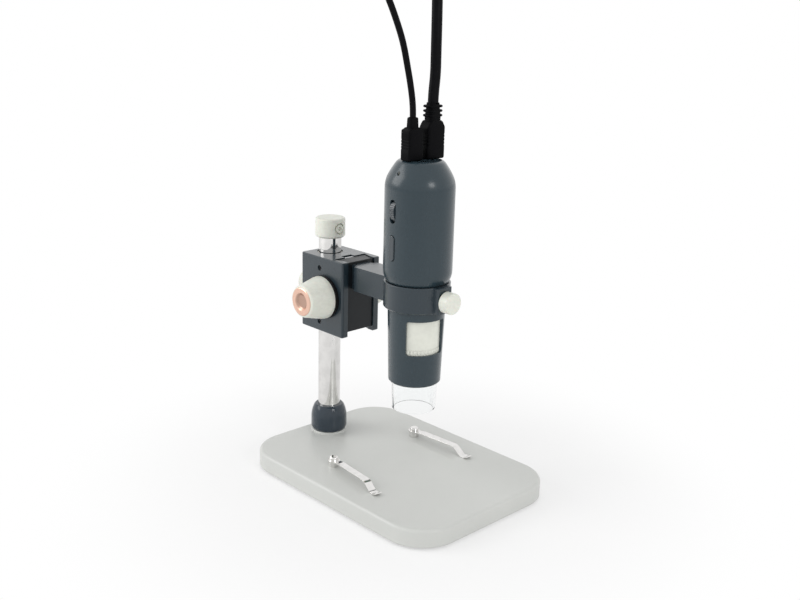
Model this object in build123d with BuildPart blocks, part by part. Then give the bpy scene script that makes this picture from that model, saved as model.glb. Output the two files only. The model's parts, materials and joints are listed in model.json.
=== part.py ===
"""A hand-held HDMI digital microscope, clamped in the ring arm of its own focusing stand.

Frame: +Z up, the base's long sides along Y, the object's front towards -Y.
The origin is the centre of the base, at the level of the feet's undersides.
"""
from build123d import *
from math import acos, cos, pi, radians, sin, sqrt, tan
import os

# ---------------------------------------------------------------- fits, mm
running = 0.05
touch = 0.02
soft_gap = 0.3

# ---------------------------------------------------------------- sizes, mm
# pillar, with its foot collar and top cap
pillar_radius = 7.0
pillar_inset = 14.5
pillar_top = 150.0
pillar_seat = 2.5
pillar_wall = 2.0
pillar_plug = 22.0
bolt_radius = 4.0
bolt_head_radius = 6.5
bolt_head_height = 4.2
bolt_key = 3.0
collar_radius = pillar_radius + 4.5
collar_height = 17.0
collar_top_radius = pillar_radius + 2.0
grub_radius = 2.0
grub_key = 1.1
cap_radius = pillar_radius + 2.3
cap_height = 12.0
cap_cover = 3.0
cap_screw_radius = 1.5
cap_screw_head = 2.6
cap_screw_key = 1.4

# base
base_length = 158.0
base_width = 114.0
base_corner = 24.0
base_thickness = 10.7
base_wall = 3.0
base_roof = 4.0
base_edge = 2.0
foot_height = 1.3
foot_radius = 7.0
foot_recess = 0.6
foot_inset = 20.0
cover_thickness = 3.0
cover_gap = 0.2
cover_screw_radius = 1.5
cover_screw_inset_x = 9.0
cover_screw_inset_y = 34.0
screw_post_radius = 4.5
boss_radius = pillar_radius + 4.2
boss_height = 1.2

# focus block on the pillar
block_wall = 7.0
block_skin = 1.5
block_bottom = 84.5
block_height = 47.0
block_edge = 1.2
sleeve_wall = 0.95
sleeve_recess = 0.7
slide_width = 20.8
slide_tail = 24.8
slide_depth = 10.0
slide_proud = 1.0
slide_straight = 3.5
slide_gap = 0.08
slide_drop = 0.5
slide_lift = 3.0
pinion_module = 0.5
pinion_teeth = 14
pinion_rise = 23.0
pinion_width = 8.6
pinion_web = 0.6
pressure_angle = 20.0
backlash = 0.12
rack_width = 7.0
rack_base = 1.4
shaft_radius = 3.0
bush_wall = 0.48
bush_gap = 0.2
knob_large = 13.2
knob_small = 9.8
knob_length = 16.0
disc_thickness = 2.0
knob_flange = 13.4
knob_cap_radius = 8.6
knob_cap_depth = 2.0
knob_cap_proud = 0.5
dimple_radius = 5.5
dimple_depth = 1.3
side_screw_radius = 1.65
side_screw_key = 0.9
side_screw_back = 5.0
side_screw_rise = 17.0
side_screw_depth = 4.5

# rear pillar clamp
clamp_rise = 23.5
clamp_stud_radius = 2.5
clamp_boss_radius = 6.0
clamp_boss_length = 3.5
clamp_knob_radius = 8.2
clamp_knob_length = 8.0
clamp_knob_gap = 1.0
knob_skin = 2.0

# ring arm
scope_y = -13.0
arm_width = 18.0
arm_height = 15.0
arm_screw_radius = 1.5
arm_screw_head = 2.75
arm_screw_depth = 3.2
arm_screw_reach = 11.0
arm_screw_key = 1.4
neck_width = 13.0
neck_length = 4.5
ring_drop = 1.6
ring_height = 15.3
ring_wall = 1.9
liner_wall = 0.65
ring_boss_width = 11.0
ring_boss_reach = 3.2
ring_boss_drop = 7.0
ring_screw_drop = 7.9
ring_stud_radius = 2.0
ring_knob_radius = 6.15
ring_knob_length = 6.6
ring_knob_gap = 0.4

# microscope body
tube_radius = 16.65
tube_wall = 2.1
nose_step = 1.3
nose_wall = 2.05
tube_drop = 60.9
tube_overlap = 5.8
shell_step = 3.2
shell_foot_step = 1.75
shell_foot_height = 6.5
shell_shoulder_drop = 15.6
shell_height = 68.8
shell_wall = 1.8
lip_height = 2.2
seam_gap = 0.4
focus_rise = 18.8
focus_height = 21.2
focus_ring_wall = 2.1
focus_gap = 0.1
window_lap = 0.7
window_angle = 251.0
window_half = 46.0
window_corner = 1.6
retainer_height = 4.0
lens_radius = 7.9
lens_lip = 1.2
lens_edge = 1.6
lens_sag = 0.9
lens_cell_rise = 7.5
lens_cell_height = 28.0
tip_length = 17.4
tip_step = 0.6
tip_wall = 1.2
spigot_length = 1.4
led_count = 8
led_circle = 9.6
led_radius = 1.5
led_board_hole = 6.0
control_angle = 177.0
wheel_drop = 27.3
wheel_radius = 7.5
wheel_width = 3.6
wheel_proud = 1.0
wheel_slot = 13.4
wheel_axle = 1.0
button_drop = 48.0
button_length = 14.3
button_width = 4.0
button_proud = 0.6
button_flange = 0.8
button_stem_radius = 1.2
switch_gap = 0.45
switch_height = 1.6
dot_drop = 6.4
dot_radius = 1.0
board_thickness = 1.4
board_y = 6.5
board_drop = 11.6

# plugs and their cords
hdmi_x = 8.0
usb_x = -7.3
hdmi_body = (13.2, 8.4, 21.0)
usb_body = (11.0, 7.6, 18.0)
hdmi_tongue = (6.6, 2.9, 7.0)
usb_tongue = (6.9, 1.9, 6.0)
hdmi_shoulder = (2.0, 3.4)
usb_shoulder = (1.8, 1.5)
hdmi_relief = 9.3
usb_relief = 5.4
hdmi_cord = 6.0
usb_cord = 3.5
plug_gap = 0.1
hdmi_collar = (8.0, 6.8)
hdmi_flange = (10.8, 7.2)
hdmi_flange_first = 2.0
hdmi_flange_pitch = 2.5
hdmi_flange_thickness = 1.3
usb_collar = (6.4, 5.2)

# stage clips
clip_x = 34.0
clip_y = 19.4
clip_length = 47.0
clip_width = 4.6
clip_sheet = 0.6
clip_rise = 3.4
clip_yaw = (-7.7, 1.7)
clip_nut_radius = 3.4
clip_nut_height = 2.2
post_radius = 1.7
post_head = 2.7
post_head_height = 2.0

# ------------------------------------------------------- places worked out
base_top = foot_height + base_thickness
pillar_y = base_length / 2 - pillar_inset
pillar_bottom = base_top - pillar_seat
collar_bottom = base_top + boss_height
sleeve_radius = pillar_radius + running + sleeve_wall
pitch_radius = pinion_module * pinion_teeth / 2
pinion_outer = pitch_radius + 0.84 * pinion_module
bush_radius = pinion_outer + bush_wall
pinion_y = pillar_y - sleeve_radius - pinion_web - bush_radius
slide_back = pinion_y - pitch_radius - 1.2 * pinion_module - rack_base
slide_front = slide_back - slide_depth
block_width = 2 * (sleeve_radius + block_wall)
block_front = slide_front - slide_proud
block_back = pillar_y + sleeve_radius + block_skin
block_depth = block_back - block_front
block_top = block_bottom + block_height
slide_top = block_top - slide_drop
slide_bottom = block_bottom + slide_lift
slide_height = slide_top - slide_bottom
pinion_height = block_bottom + pinion_rise
clamp_height = block_bottom + clamp_rise
knob_start = block_width / 2 + disc_thickness
side_screw_y = pinion_y + side_screw_back
side_screw_places = [(side_screw_y, pinion_height + k * side_screw_rise) for k in (-1, 1)]

ring_top = slide_top - ring_drop
ring_bottom = ring_top - ring_height
arm_bottom = ring_top - arm_height
arm_screw_heights = (arm_bottom + 3.2, ring_top - 3.6)
liner_bore = tube_radius + running
ring_bore = liner_bore + liner_wall + running
ring_radius = ring_bore + ring_wall
ring_boss_front = scope_y - ring_radius - ring_boss_reach
ring_screw_height = ring_top - ring_screw_drop

tube_nose_radius = tube_radius - nose_step
tube_bore = tube_radius - tube_wall
nose_bore = tube_nose_radius - nose_wall
shell_radius = tube_radius + shell_step
shell_foot_radius = shell_radius - shell_foot_step
shell_bottom = ring_top + seam_gap
shell_top = shell_bottom + shell_height
tube_bottom = shell_bottom - tube_drop
shell_shoulder = shell_top - shell_shoulder_drop
tube_top = shell_bottom + tube_overlap
socket_level = shell_top - shell_wall
focus_bottom = tube_bottom + focus_rise
focus_top = focus_bottom + focus_height
focus_ring_bore = tube_bore - running - focus_ring_wall
window_bottom = focus_bottom + window_lap
window_top = focus_top - focus_gap
retainer_bottom = focus_top + focus_gap
sensor_bottom = retainer_bottom + retainer_height
board_bottom = sensor_bottom + board_thickness
board_top = shell_top - board_drop
board_face = scope_y + board_y
board_width = 2 * sqrt((tube_bore - 0.4) ** 2 - (board_y + board_thickness) ** 2)
socket_board_radius = shell_radius - 4.35
lens_cell_bottom = tube_bottom + lens_cell_rise
lens_cell_top = lens_cell_bottom + lens_cell_height
tip_bottom = tube_bottom - tip_length
tip_radius = nose_bore - tip_step
spigot_top = tube_bottom + spigot_length
wheel_height = shell_top - wheel_drop
button_height = shell_top - button_drop
dot_height = shell_top - dot_drop

pillar_axis = Axis((0, pillar_y, 0), (0, 0, 1))
scope_axis = Axis((0, scope_y, 0), (0, 0, 1))
pillar_plane = Plane.XZ.offset(-pillar_y)
scope_plane = Plane.XZ.offset(-scope_y)
side_plane = Plane((0, 0, 0), x_dir=(0, 1, 0), z_dir=(1, 0, 0))


def save(name, part):
    """Label a finished piece and write its STEP file."""
    part.label = name
    export_step(part, f"parts/{name}.step")


def turned(points, plane, axis):
    """A solid of revolution from the corners (radius, height) of its section."""
    with BuildPart() as piece:
        with BuildSketch(plane):
            with BuildLine():
                Polyline(points, close=True)
            make_face()
        revolve(axis=axis)
    return piece.part


def ring_points(inner, outer, low, high):
    """The four corners of a plain ring's section."""
    return [(inner, low), (outer, low), (outer, high), (inner, high)]


def radial_plane(angle, radius, height):
    """A plane on the microscope's side, facing outwards, its x up and y sideways."""
    out = Vector(cos(radians(angle)), sin(radians(angle)), 0)
    place = Vector(0, scope_y, height) + out * radius
    return Plane(place, x_dir=(0, 0, 1), z_dir=out)


def rounded_plate(plane, inset, height):
    """The base's outline, taken in by an inset, raised to a height."""
    with BuildPart() as plate:
        with BuildSketch(plane):
            RectangleRounded(base_width - 2 * inset, base_length - 2 * inset, base_corner - inset)
        extrude(amount=height)
    return plate.part


os.makedirs("parts", exist_ok=True)

# ==================================================================== base
foot_x = base_width / 2 - foot_inset
foot_y = base_length / 2 - foot_inset
cover_x = base_width / 2 - cover_screw_inset_x
cover_y = base_length / 2 - cover_screw_inset_y
cover_places = [(x, y) for x in (-cover_x, cover_x) for y in (-cover_y, cover_y)]
foot_places = [(x, y) for x in (-foot_x, foot_x) for y in (-foot_y, foot_y)]
clip_places = [(-clip_x, clip_y), (clip_x, clip_y)]
cavity_roof = base_top - base_roof
cover_top = foot_height + cover_thickness
pad_bottom = foot_height + bolt_head_height + 0.4

with BuildPart() as base_plate:
    add(rounded_plate(Plane.XY.offset(foot_height), 0, base_thickness))
    fillet(base_plate.faces().sort_by(Axis.Z)[-1].edges(), base_edge)
    fillet(base_plate.faces().sort_by(Axis.Z)[0].edges(), 0.6)
    with BuildSketch(Plane.XY.offset(foot_height)):
        RectangleRounded(base_width - 2 * base_wall, base_length - 2 * base_wall, base_corner - base_wall)
    extrude(amount=base_thickness - base_roof, mode=Mode.SUBTRACT)
    with BuildSketch(Plane.XY.offset(cover_top)):
        with Locations(*cover_places):
            Circle(screw_post_radius)
    extrude(until=Until.NEXT)
    with BuildSketch(Plane.XY.offset(pad_bottom)):
        with Locations((0, pillar_y)):
            Circle(boss_radius)
    extrude(until=Until.NEXT)
    with BuildSketch(Plane.XY.offset(base_top)):
        with Locations((0, pillar_y)):
            Circle(boss_radius)
    extrude(amount=boss_height)
    chamfer(base_plate.faces().sort_by(Axis.Z)[-1].edges().filter_by(GeomType.CIRCLE), 0.4)
    with BuildSketch(Plane.XY.offset(pillar_bottom)):
        with Locations((0, pillar_y)):
            Circle(pillar_radius + running)
    extrude(amount=pillar_seat + boss_height, mode=Mode.SUBTRACT)
    with BuildSketch(Plane.XY.offset(pad_bottom)):
        with Locations((0, pillar_y)):
            Circle(bolt_radius + 0.2)
    extrude(amount=base_top, mode=Mode.SUBTRACT)
    with BuildSketch(Plane.XY.offset(cover_top)):
        with Locations(*cover_places):
            Circle(cover_screw_radius + running)
    extrude(amount=cavity_roof - cover_top, mode=Mode.SUBTRACT)
    with BuildSketch(Plane.XY.offset(cavity_roof)):
        with Locations(*clip_places):
            Circle(post_radius + running)
    extrude(amount=base_roof, mode=Mode.SUBTRACT)
save("base_plate", base_plate.part)

with BuildPart() as base_cover:
    add(rounded_plate(Plane.XY.offset(foot_height), base_wall + cover_gap, cover_thickness))
    with Locations(Plane.XY.offset(foot_height).rotated((180, 0, 0))):
        with Locations(*[(x, -y) for x, y in cover_places]):
            CounterSinkHole(cover_screw_radius + 0.15, 2 * cover_screw_radius)
    with BuildSketch(Plane.XY.offset(foot_height)):
        with Locations(*foot_places):
            Circle(foot_radius + running)
    extrude(amount=foot_recess, mode=Mode.SUBTRACT)
    with BuildSketch(Plane.XY.offset(foot_height)):
        with Locations((0, pillar_y)):
            Circle(boss_radius + soft_gap)
    extrude(amount=cover_thickness, mode=Mode.SUBTRACT)
save("base_cover", base_cover.part)

with BuildPart() as rubber_feet:
    with BuildSketch(Plane.XY):
        with Locations(*foot_places):
            Circle(foot_radius)
    extrude(amount=foot_height + foot_recess)
    chamfer(rubber_feet.edges().group_by(Axis.Z)[0], 0.5)
save("rubber_feet", rubber_feet.part)

with BuildPart() as cover_screws:
    for x, y in cover_places:
        with BuildSketch(Plane((x, y, 0), x_dir=(1, 0, 0), z_dir=(0, -1, 0))):
            with BuildLine():
                Polyline(
                    (0, foot_height + 0.5),
                    (2 * cover_screw_radius - 0.45, foot_height + 0.1),
                    (cover_screw_radius, foot_height + 1.5),
                    (cover_screw_radius, cavity_roof - 0.6),
                    (0, cavity_roof - 0.6),
                    close=True,
                )
            make_face()
        revolve(axis=Axis((x, y, 0), (0, 0, 1)))
save("cover_screws", cover_screws.part)

# ================================================================== pillar
with BuildPart() as pillar:
    with BuildSketch(Plane.XY.offset(pillar_bottom)):
        with Locations((0, pillar_y)):
            Circle(pillar_radius)
            Circle(bolt_radius + running, mode=Mode.SUBTRACT)
    extrude(amount=pillar_plug)
    with BuildSketch(Plane.XY.offset(pillar_bottom + pillar_plug)):
        with Locations((0, pillar_y)):
            Circle(pillar_radius)
            Circle(pillar_radius - pillar_wall, mode=Mode.SUBTRACT)
    extrude(amount=pillar_top - pillar_bottom - pillar_plug)
    chamfer(pillar.edges().group_by(Axis.Z)[-1], 0.4)
save("pillar", pillar.part)

with BuildPart() as pillar_bolt:
    with BuildSketch(Plane.XY.offset(pad_bottom - bolt_head_height)):
        with Locations((0, pillar_y)):
            Circle(bolt_head_radius)
    extrude(amount=bolt_head_height)
    with BuildSketch(Plane.XY.offset(pad_bottom)):
        with Locations((0, pillar_y)):
            Circle(bolt_radius)
    extrude(amount=pillar_bottom + 0.8 * pillar_plug - pad_bottom)
    with BuildSketch(Plane.XY.offset(pad_bottom - bolt_head_height)):
        with Locations((0, pillar_y)):
            RegularPolygon(bolt_key, 6)
    extrude(amount=0.6 * bolt_head_height, mode=Mode.SUBTRACT)
save("pillar_bolt", pillar_bolt.part)

collar_top = collar_bottom + collar_height
with BuildPart() as pillar_collar:
    with BuildSketch(pillar_plane):
        with BuildLine():
            Polyline(
                (pillar_radius + running, collar_top),
                (pillar_radius + running, collar_bottom),
                (boss_radius - 0.9, collar_bottom),
            )
            ThreePointArc(
                (boss_radius - 0.9, collar_bottom),
                (collar_radius - 0.35, collar_bottom + 1.2),
                (collar_radius, collar_bottom + 3.2),
            )
            Line((collar_radius, collar_bottom + 3.2), (collar_radius, collar_bottom + 8.0))
            TangentArc(
                (collar_radius, collar_bottom + 8.0),
                (collar_top_radius + 0.5, collar_top - 0.8),
                tangent=(0, 1),
            )
            Polyline(
                (collar_top_radius + 0.5, collar_top - 0.8),
                (collar_top_radius - 0.4, collar_top),
                (pillar_radius + running, collar_top),
            )
        make_face()
    revolve(axis=pillar_axis)
    grub_height = collar_bottom + 6.0
    with BuildSketch(Plane((0, pillar_y, grub_height), x_dir=(1, 0, 0), z_dir=(0, 1, 0))):
        Circle(grub_radius + running)
    extrude(amount=collar_radius + 1, mode=Mode.SUBTRACT)
save("pillar_collar", pillar_collar.part)

with BuildPart() as collar_grub_screw:
    grub_start = pillar_y + pillar_radius + running
    with BuildSketch(Plane((0, grub_start, grub_height), x_dir=(1, 0, 0), z_dir=(0, 1, 0))):
        Circle(grub_radius)
    extrude(amount=collar_radius - pillar_radius - 0.6)
    with BuildSketch(Plane(collar_grub_screw.faces().sort_by(Axis.Y)[-1])):
        RegularPolygon(grub_key, 6)
    extrude(amount=-2, mode=Mode.SUBTRACT)
save("collar_grub_screw", collar_grub_screw.part)

cap_top = pillar_top + cap_cover
cap_bottom = cap_top - cap_height
cap_screw_height = cap_bottom + cap_height / 2
with BuildPart() as pillar_cap:
    with BuildSketch(Plane.XY.offset(cap_bottom)):
        with Locations((0, pillar_y)):
            Circle(cap_radius)
    extrude(amount=cap_height)
    fillet(pillar_cap.edges().group_by(Axis.Z)[-1], 1.2)
    chamfer(pillar_cap.edges().group_by(Axis.Z)[0], 1.0)
    with BuildSketch(Plane.XY.offset(cap_bottom)):
        with Locations((0, pillar_y)):
            Circle(pillar_radius + running)
    extrude(amount=cap_height - cap_cover, mode=Mode.SUBTRACT)
    with BuildSketch(Plane((0, pillar_y, cap_screw_height), x_dir=(1, 0, 0), z_dir=(0, -1, 0))):
        Circle(cap_screw_radius + running)
    extrude(amount=cap_radius, mode=Mode.SUBTRACT)
    screw_seat = pillar_y - cap_radius + 1.7
    with BuildSketch(Plane((0, screw_seat, cap_screw_height), x_dir=(1, 0, 0), z_dir=(0, -1, 0))):
        Circle(cap_screw_head + 0.9)
    extrude(amount=3, mode=Mode.SUBTRACT)
save("pillar_cap", pillar_cap.part)

with BuildPart() as cap_screw:
    tip_y = pillar_y - pillar_radius - running
    with BuildSketch(Plane((0, tip_y, cap_screw_height), x_dir=(1, 0, 0), z_dir=(0, -1, 0))):
        Circle(cap_screw_radius)
    extrude(amount=tip_y - screw_seat)
    with BuildSketch(Plane((0, screw_seat, cap_screw_height), x_dir=(1, 0, 0), z_dir=(0, -1, 0))):
        Circle(cap_screw_head)
    extrude(amount=1.5)
    with BuildSketch(Plane(cap_screw.faces().sort_by(Axis.Y)[0])):
        RegularPolygon(cap_screw_key, 6)
    extrude(amount=-1.0, mode=Mode.SUBTRACT)
save("cap_screw", cap_screw.part)

# ============================================================= focus block
with BuildPart() as pillar_sleeve:
    add(
        turned(
            ring_points(
                pillar_radius + running,
                sleeve_radius,
                block_bottom + sleeve_recess,
                block_top - sleeve_recess,
            ),
            pillar_plane,
            pillar_axis,
        )
    )
save("pillar_sleeve", pillar_sleeve.part)


def slide_outline(grow):
    """Half of the dovetail's section on each side, grown by a clearance."""
    front = slide_front - (5 if grow else 0)
    step = slide_front + slide_straight
    return [
        (-slide_width / 2 - grow, front),
        (slide_width / 2 + grow, front),
        (slide_width / 2 + grow, step),
        (slide_tail / 2 + grow, slide_back + grow),
        (-slide_tail / 2 - grow, slide_back + grow),
        (-slide_width / 2 - grow, step),
    ]


rack_slot = rack_base + 2 * pinion_module + 1.6
with BuildPart() as focus_block:
    with BuildSketch(Plane.XY.offset(block_bottom)):
        with Locations((0, block_front + block_depth / 2)):
            Rectangle(block_width, block_depth)
    extrude(amount=block_height)
    fillet(focus_block.edges().filter_by(Axis.Z), block_edge)
    chamfer(focus_block.faces().sort_by(Axis.Z)[-1].edges(), 0.4)
    chamfer(focus_block.faces().sort_by(Axis.Z)[0].edges(), 0.4)
    with BuildSketch(Plane((0, block_back - 1, clamp_height), x_dir=(1, 0, 0), z_dir=(0, 1, 0))):
        Circle(clamp_boss_radius)
    extrude(amount=clamp_boss_length + 1)
    with BuildSketch(Plane.XY.offset(block_bottom)):
        with Locations((0, pillar_y)):
            Circle(sleeve_radius + running)
    extrude(amount=block_height, mode=Mode.SUBTRACT)
    with BuildSketch(Plane.XY.offset(block_bottom)):
        with BuildLine():
            Polyline(slide_outline(slide_gap), close=True)
        make_face()
        with Locations((0, slide_back - 0.5 + rack_slot / 2)):
            Rectangle(rack_width + 0.8, rack_slot)
    extrude(amount=block_height, mode=Mode.SUBTRACT)
    with BuildSketch(side_plane.offset(-block_width)):
        with Locations((pinion_y, pinion_height)):
            Circle(bush_radius + running)
    extrude(amount=2 * block_width, mode=Mode.SUBTRACT)
    for side in (-1, 1):
        with BuildSketch(side_plane.offset(side * block_width / 2)):
            with Locations(*side_screw_places):
                Circle(side_screw_radius + running)
        extrude(amount=-side * side_screw_depth, mode=Mode.SUBTRACT)
    with BuildSketch(Plane((0, pillar_y, clamp_height), x_dir=(1, 0, 0), z_dir=(0, 1, 0))):
        Circle(clamp_stud_radius + running)
    extrude(amount=block_depth, mode=Mode.SUBTRACT)
save("focus_block", focus_block.part)

with BuildPart() as side_grub_screws:
    for side in (-1, 1):
        with BuildSketch(side_plane.offset(side * (block_width / 2 - side_screw_depth + 0.1))):
            with Locations(*side_screw_places):
                Circle(side_screw_radius)
                RegularPolygon(side_screw_key, 6, mode=Mode.SUBTRACT)
        extrude(amount=side * 3.4)
        with BuildSketch(side_plane.offset(side * (block_width / 2 - side_screw_depth + 0.1))):
            with Locations(*side_screw_places):
                Circle(side_screw_radius)
        extrude(amount=side * 1.8)
save("side_grub_screws", side_grub_screws.part)

with BuildPart() as slide_carriage:
    with BuildSketch(Plane.XY.offset(slide_bottom)):
        with BuildLine():
            Polyline(slide_outline(0), close=True)
        make_face()
    extrude(amount=slide_height)
    chamfer(slide_carriage.faces().sort_by(Axis.Z)[-1].edges(), 0.3)
    with Locations(Plane((0, slide_back, 0), x_dir=(-1, 0, 0), z_dir=(0, 1, 0))):
        with Locations(*[(0, z) for z in arm_screw_heights]):
            CounterBoreHole(arm_screw_radius + running, arm_screw_head + 0.15, arm_screw_depth)
save("slide_carriage", slide_carriage.part)


def involute(angle):
    """The involute function of a pressure angle in radians."""
    return tan(angle) - angle


def tooth_half_angle(radius):
    """Half the angle that a pinion tooth takes at a radius, in radians."""
    pressure = radians(pressure_angle)
    at = acos(min(1.0, pitch_radius * cos(pressure) / radius))
    at_pitch = pi / 2 / pinion_teeth - backlash / 4 / pitch_radius
    return at_pitch + involute(pressure) - involute(at)


def tooth_points(middle):
    """One pinion tooth about a direction in radians, from inside the root to the tip."""
    low = shaft_radius + 0.3
    flank = [(shaft_radius - 0.2, tooth_half_angle(low))]
    flank += [(r, tooth_half_angle(r)) for r in (low, pitch_radius, pinion_outer)]
    turns = [(r, middle + half) for r, half in flank]
    turns += [(r, middle - half) for r, half in reversed(flank)]
    return [(r * cos(turn), r * sin(turn)) for r, turn in turns]


shaft_half = knob_start + knob_length - knob_cap_depth - 0.2
with BuildPart() as pinion_shaft:
    with BuildSketch(side_plane.offset(-shaft_half)):
        with Locations((pinion_y, pinion_height)):
            Circle(shaft_radius)
    extrude(amount=2 * shaft_half)
    tooth_plane = Plane((-pinion_width / 2, pinion_y, pinion_height), x_dir=(0, 1, 0), z_dir=(1, 0, 0))
    with BuildSketch(tooth_plane):
        for k in range(pinion_teeth):
            with BuildLine():
                Polyline(tooth_points(pi + 2 * pi * k / pinion_teeth), close=True)
            make_face()
    extrude(amount=pinion_width)
save("pinion_shaft", pinion_shaft.part)

rack_pitch = pi * pinion_module
rack_root = slide_back + rack_base
rack_tip = rack_root + pinion_module * 2.0
pitch_line = pinion_y - pitch_radius
slope = tan(radians(pressure_angle))
tooth_half = rack_pitch / 4 - backlash / 4
first_tooth = -int((pinion_height - slide_bottom) / rack_pitch - 0.6)
last_tooth = int((slide_top - pinion_height) / rack_pitch - 0.6)
with BuildPart() as focus_rack:
    with BuildSketch(Plane.YZ.offset(-rack_width / 2)):
        with Locations((slide_back + rack_base / 2, slide_bottom + slide_height / 2)):
            Rectangle(rack_base, slide_height)
        for k in range(first_tooth, last_tooth):
            middle = pinion_height + (k + 0.5) * rack_pitch
            root_half = tooth_half + slope * (pitch_line - rack_root)
            tip_half = tooth_half - slope * (rack_tip - pitch_line)
            with BuildLine():
                Polyline(
                    (rack_root - 0.1, middle - root_half),
                    (rack_tip, middle - tip_half),
                    (rack_tip, middle + tip_half),
                    (rack_root - 0.1, middle + root_half),
                    close=True,
                )
            make_face()
    extrude(amount=rack_width)
save("focus_rack", focus_rack.part)

with BuildPart() as pinion_bushes:
    for side in (-1, 1):
        with BuildSketch(side_plane.offset(side * (pinion_width / 2 + bush_gap))):
            with Locations((pinion_y, pinion_height)):
                Circle(bush_radius)
                Circle(shaft_radius + running, mode=Mode.SUBTRACT)
        extrude(amount=side * (block_width / 2 - pinion_width / 2 - bush_gap))
save("pinion_bushes", pinion_bushes.part)

with BuildPart() as friction_discs:
    for side in (-1, 1):
        with BuildSketch(side_plane.offset(side * (block_width / 2 + 0.1))):
            with Locations((pinion_y, pinion_height)):
                Circle(knob_flange)
                Circle(shaft_radius + touch, mode=Mode.SUBTRACT)
        extrude(amount=side * (disc_thickness - 0.1))
save("friction_discs", friction_discs.part)


def focus_knob(side):
    """One cream cone knob on the pinion shaft, large end at the block."""
    start = knob_start
    end = knob_start + knob_length
    plane = Plane((0, pinion_y, pinion_height), x_dir=(side, 0, 0), z_dir=(0, -side, 0))
    with BuildPart() as knob:
        with BuildSketch(plane):
            with BuildLine():
                Polyline(
                    (start, shaft_radius + touch),
                    (start, knob_large - 0.6),
                    (start + 0.6, knob_large),
                    (start + 2.6, knob_large - 0.15),
                    (end - 1.2, knob_small + 0.15),
                )
                TangentArc((end - 1.2, knob_small + 0.15), (end, knob_small - 1.0), tangent=(1, -0.25))
                Polyline(
                    (end, knob_small - 1.0),
                    (end, knob_cap_radius),
                    (end - knob_cap_depth, knob_cap_radius),
                    (end - knob_cap_depth, shaft_radius + touch),
                    (start, shaft_radius + touch),
                )
            make_face()
        revolve(axis=Axis((0, pinion_y, pinion_height), (1, 0, 0)))
    return knob.part


def knob_cap(side):
    """The copper-coloured cap with a dimple, pressed into a knob's end."""
    end = knob_start + knob_length
    face = end + knob_cap_proud
    plane = Plane((0, pinion_y, pinion_height), x_dir=(side, 0, 0), z_dir=(0, -side, 0))
    with BuildPart() as cap:
        with BuildSketch(plane):
            with BuildLine():
                Polyline(
                    (end - knob_cap_depth, 0),
                    (end - knob_cap_depth, knob_cap_radius),
                    (face - 0.3, knob_cap_radius),
                    (face, knob_cap_radius - 0.6),
                    (face, dimple_radius),
                    (face - dimple_depth, dimple_radius - 1.6),
                    (face - dimple_depth, 0),
                    close=True,
                )
            make_face()
        revolve(axis=Axis((0, pinion_y, pinion_height), (1, 0, 0)))
    return cap.part


for name, side in (("left", -1), ("right", 1)):
    save(f"focus_knob_{name}", focus_knob(side))

with BuildPart() as knob_caps:
    add(knob_cap(-1))
    add(knob_cap(1))
save("knob_caps", knob_caps.part)

# rear clamp, a stud that presses the sleeve on the pillar
clamp_tip = pillar_y + sleeve_radius + running
clamp_knob_start = block_back + clamp_boss_length + clamp_knob_gap
with BuildPart() as block_clamp_stud:
    with BuildSketch(Plane((0, clamp_tip, clamp_height), x_dir=(1, 0, 0), z_dir=(0, 1, 0))):
        Circle(clamp_stud_radius)
    extrude(amount=clamp_knob_start + clamp_knob_length - knob_skin - clamp_tip)
save("block_clamp_stud", block_clamp_stud.part)


def thumb_knob(radius, length, bore, depth, start, direction, height):
    """A short cream thumb knob on a stud along Y, its outer face slightly domed."""
    plane = Plane((0, start, height), x_dir=(0, direction, 0), z_dir=(direction, 0, 0))
    with BuildPart() as knob:
        with BuildSketch(plane):
            with BuildLine():
                Polyline(
                    (depth, 0),
                    (depth, bore),
                    (0, bore),
                    (0, radius - 0.5),
                    (0.5, radius),
                    (length - 1.0, radius),
                )
                ThreePointArc(
                    (length - 1.0, radius),
                    (length - 0.3, radius - 0.3),
                    (length, radius - 1.2),
                )
                Line((length, radius - 1.2), (length, 0))
                Line((length, 0), (depth, 0))
            make_face()
        revolve(axis=Axis((0, start, height), (0, 1, 0)))
    return knob.part


save(
    "block_clamp_knob",
    thumb_knob(
        clamp_knob_radius,
        clamp_knob_length,
        clamp_stud_radius + running,
        clamp_knob_length - knob_skin + running,
        clamp_knob_start,
        1,
        clamp_height,
    ),
)

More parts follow.
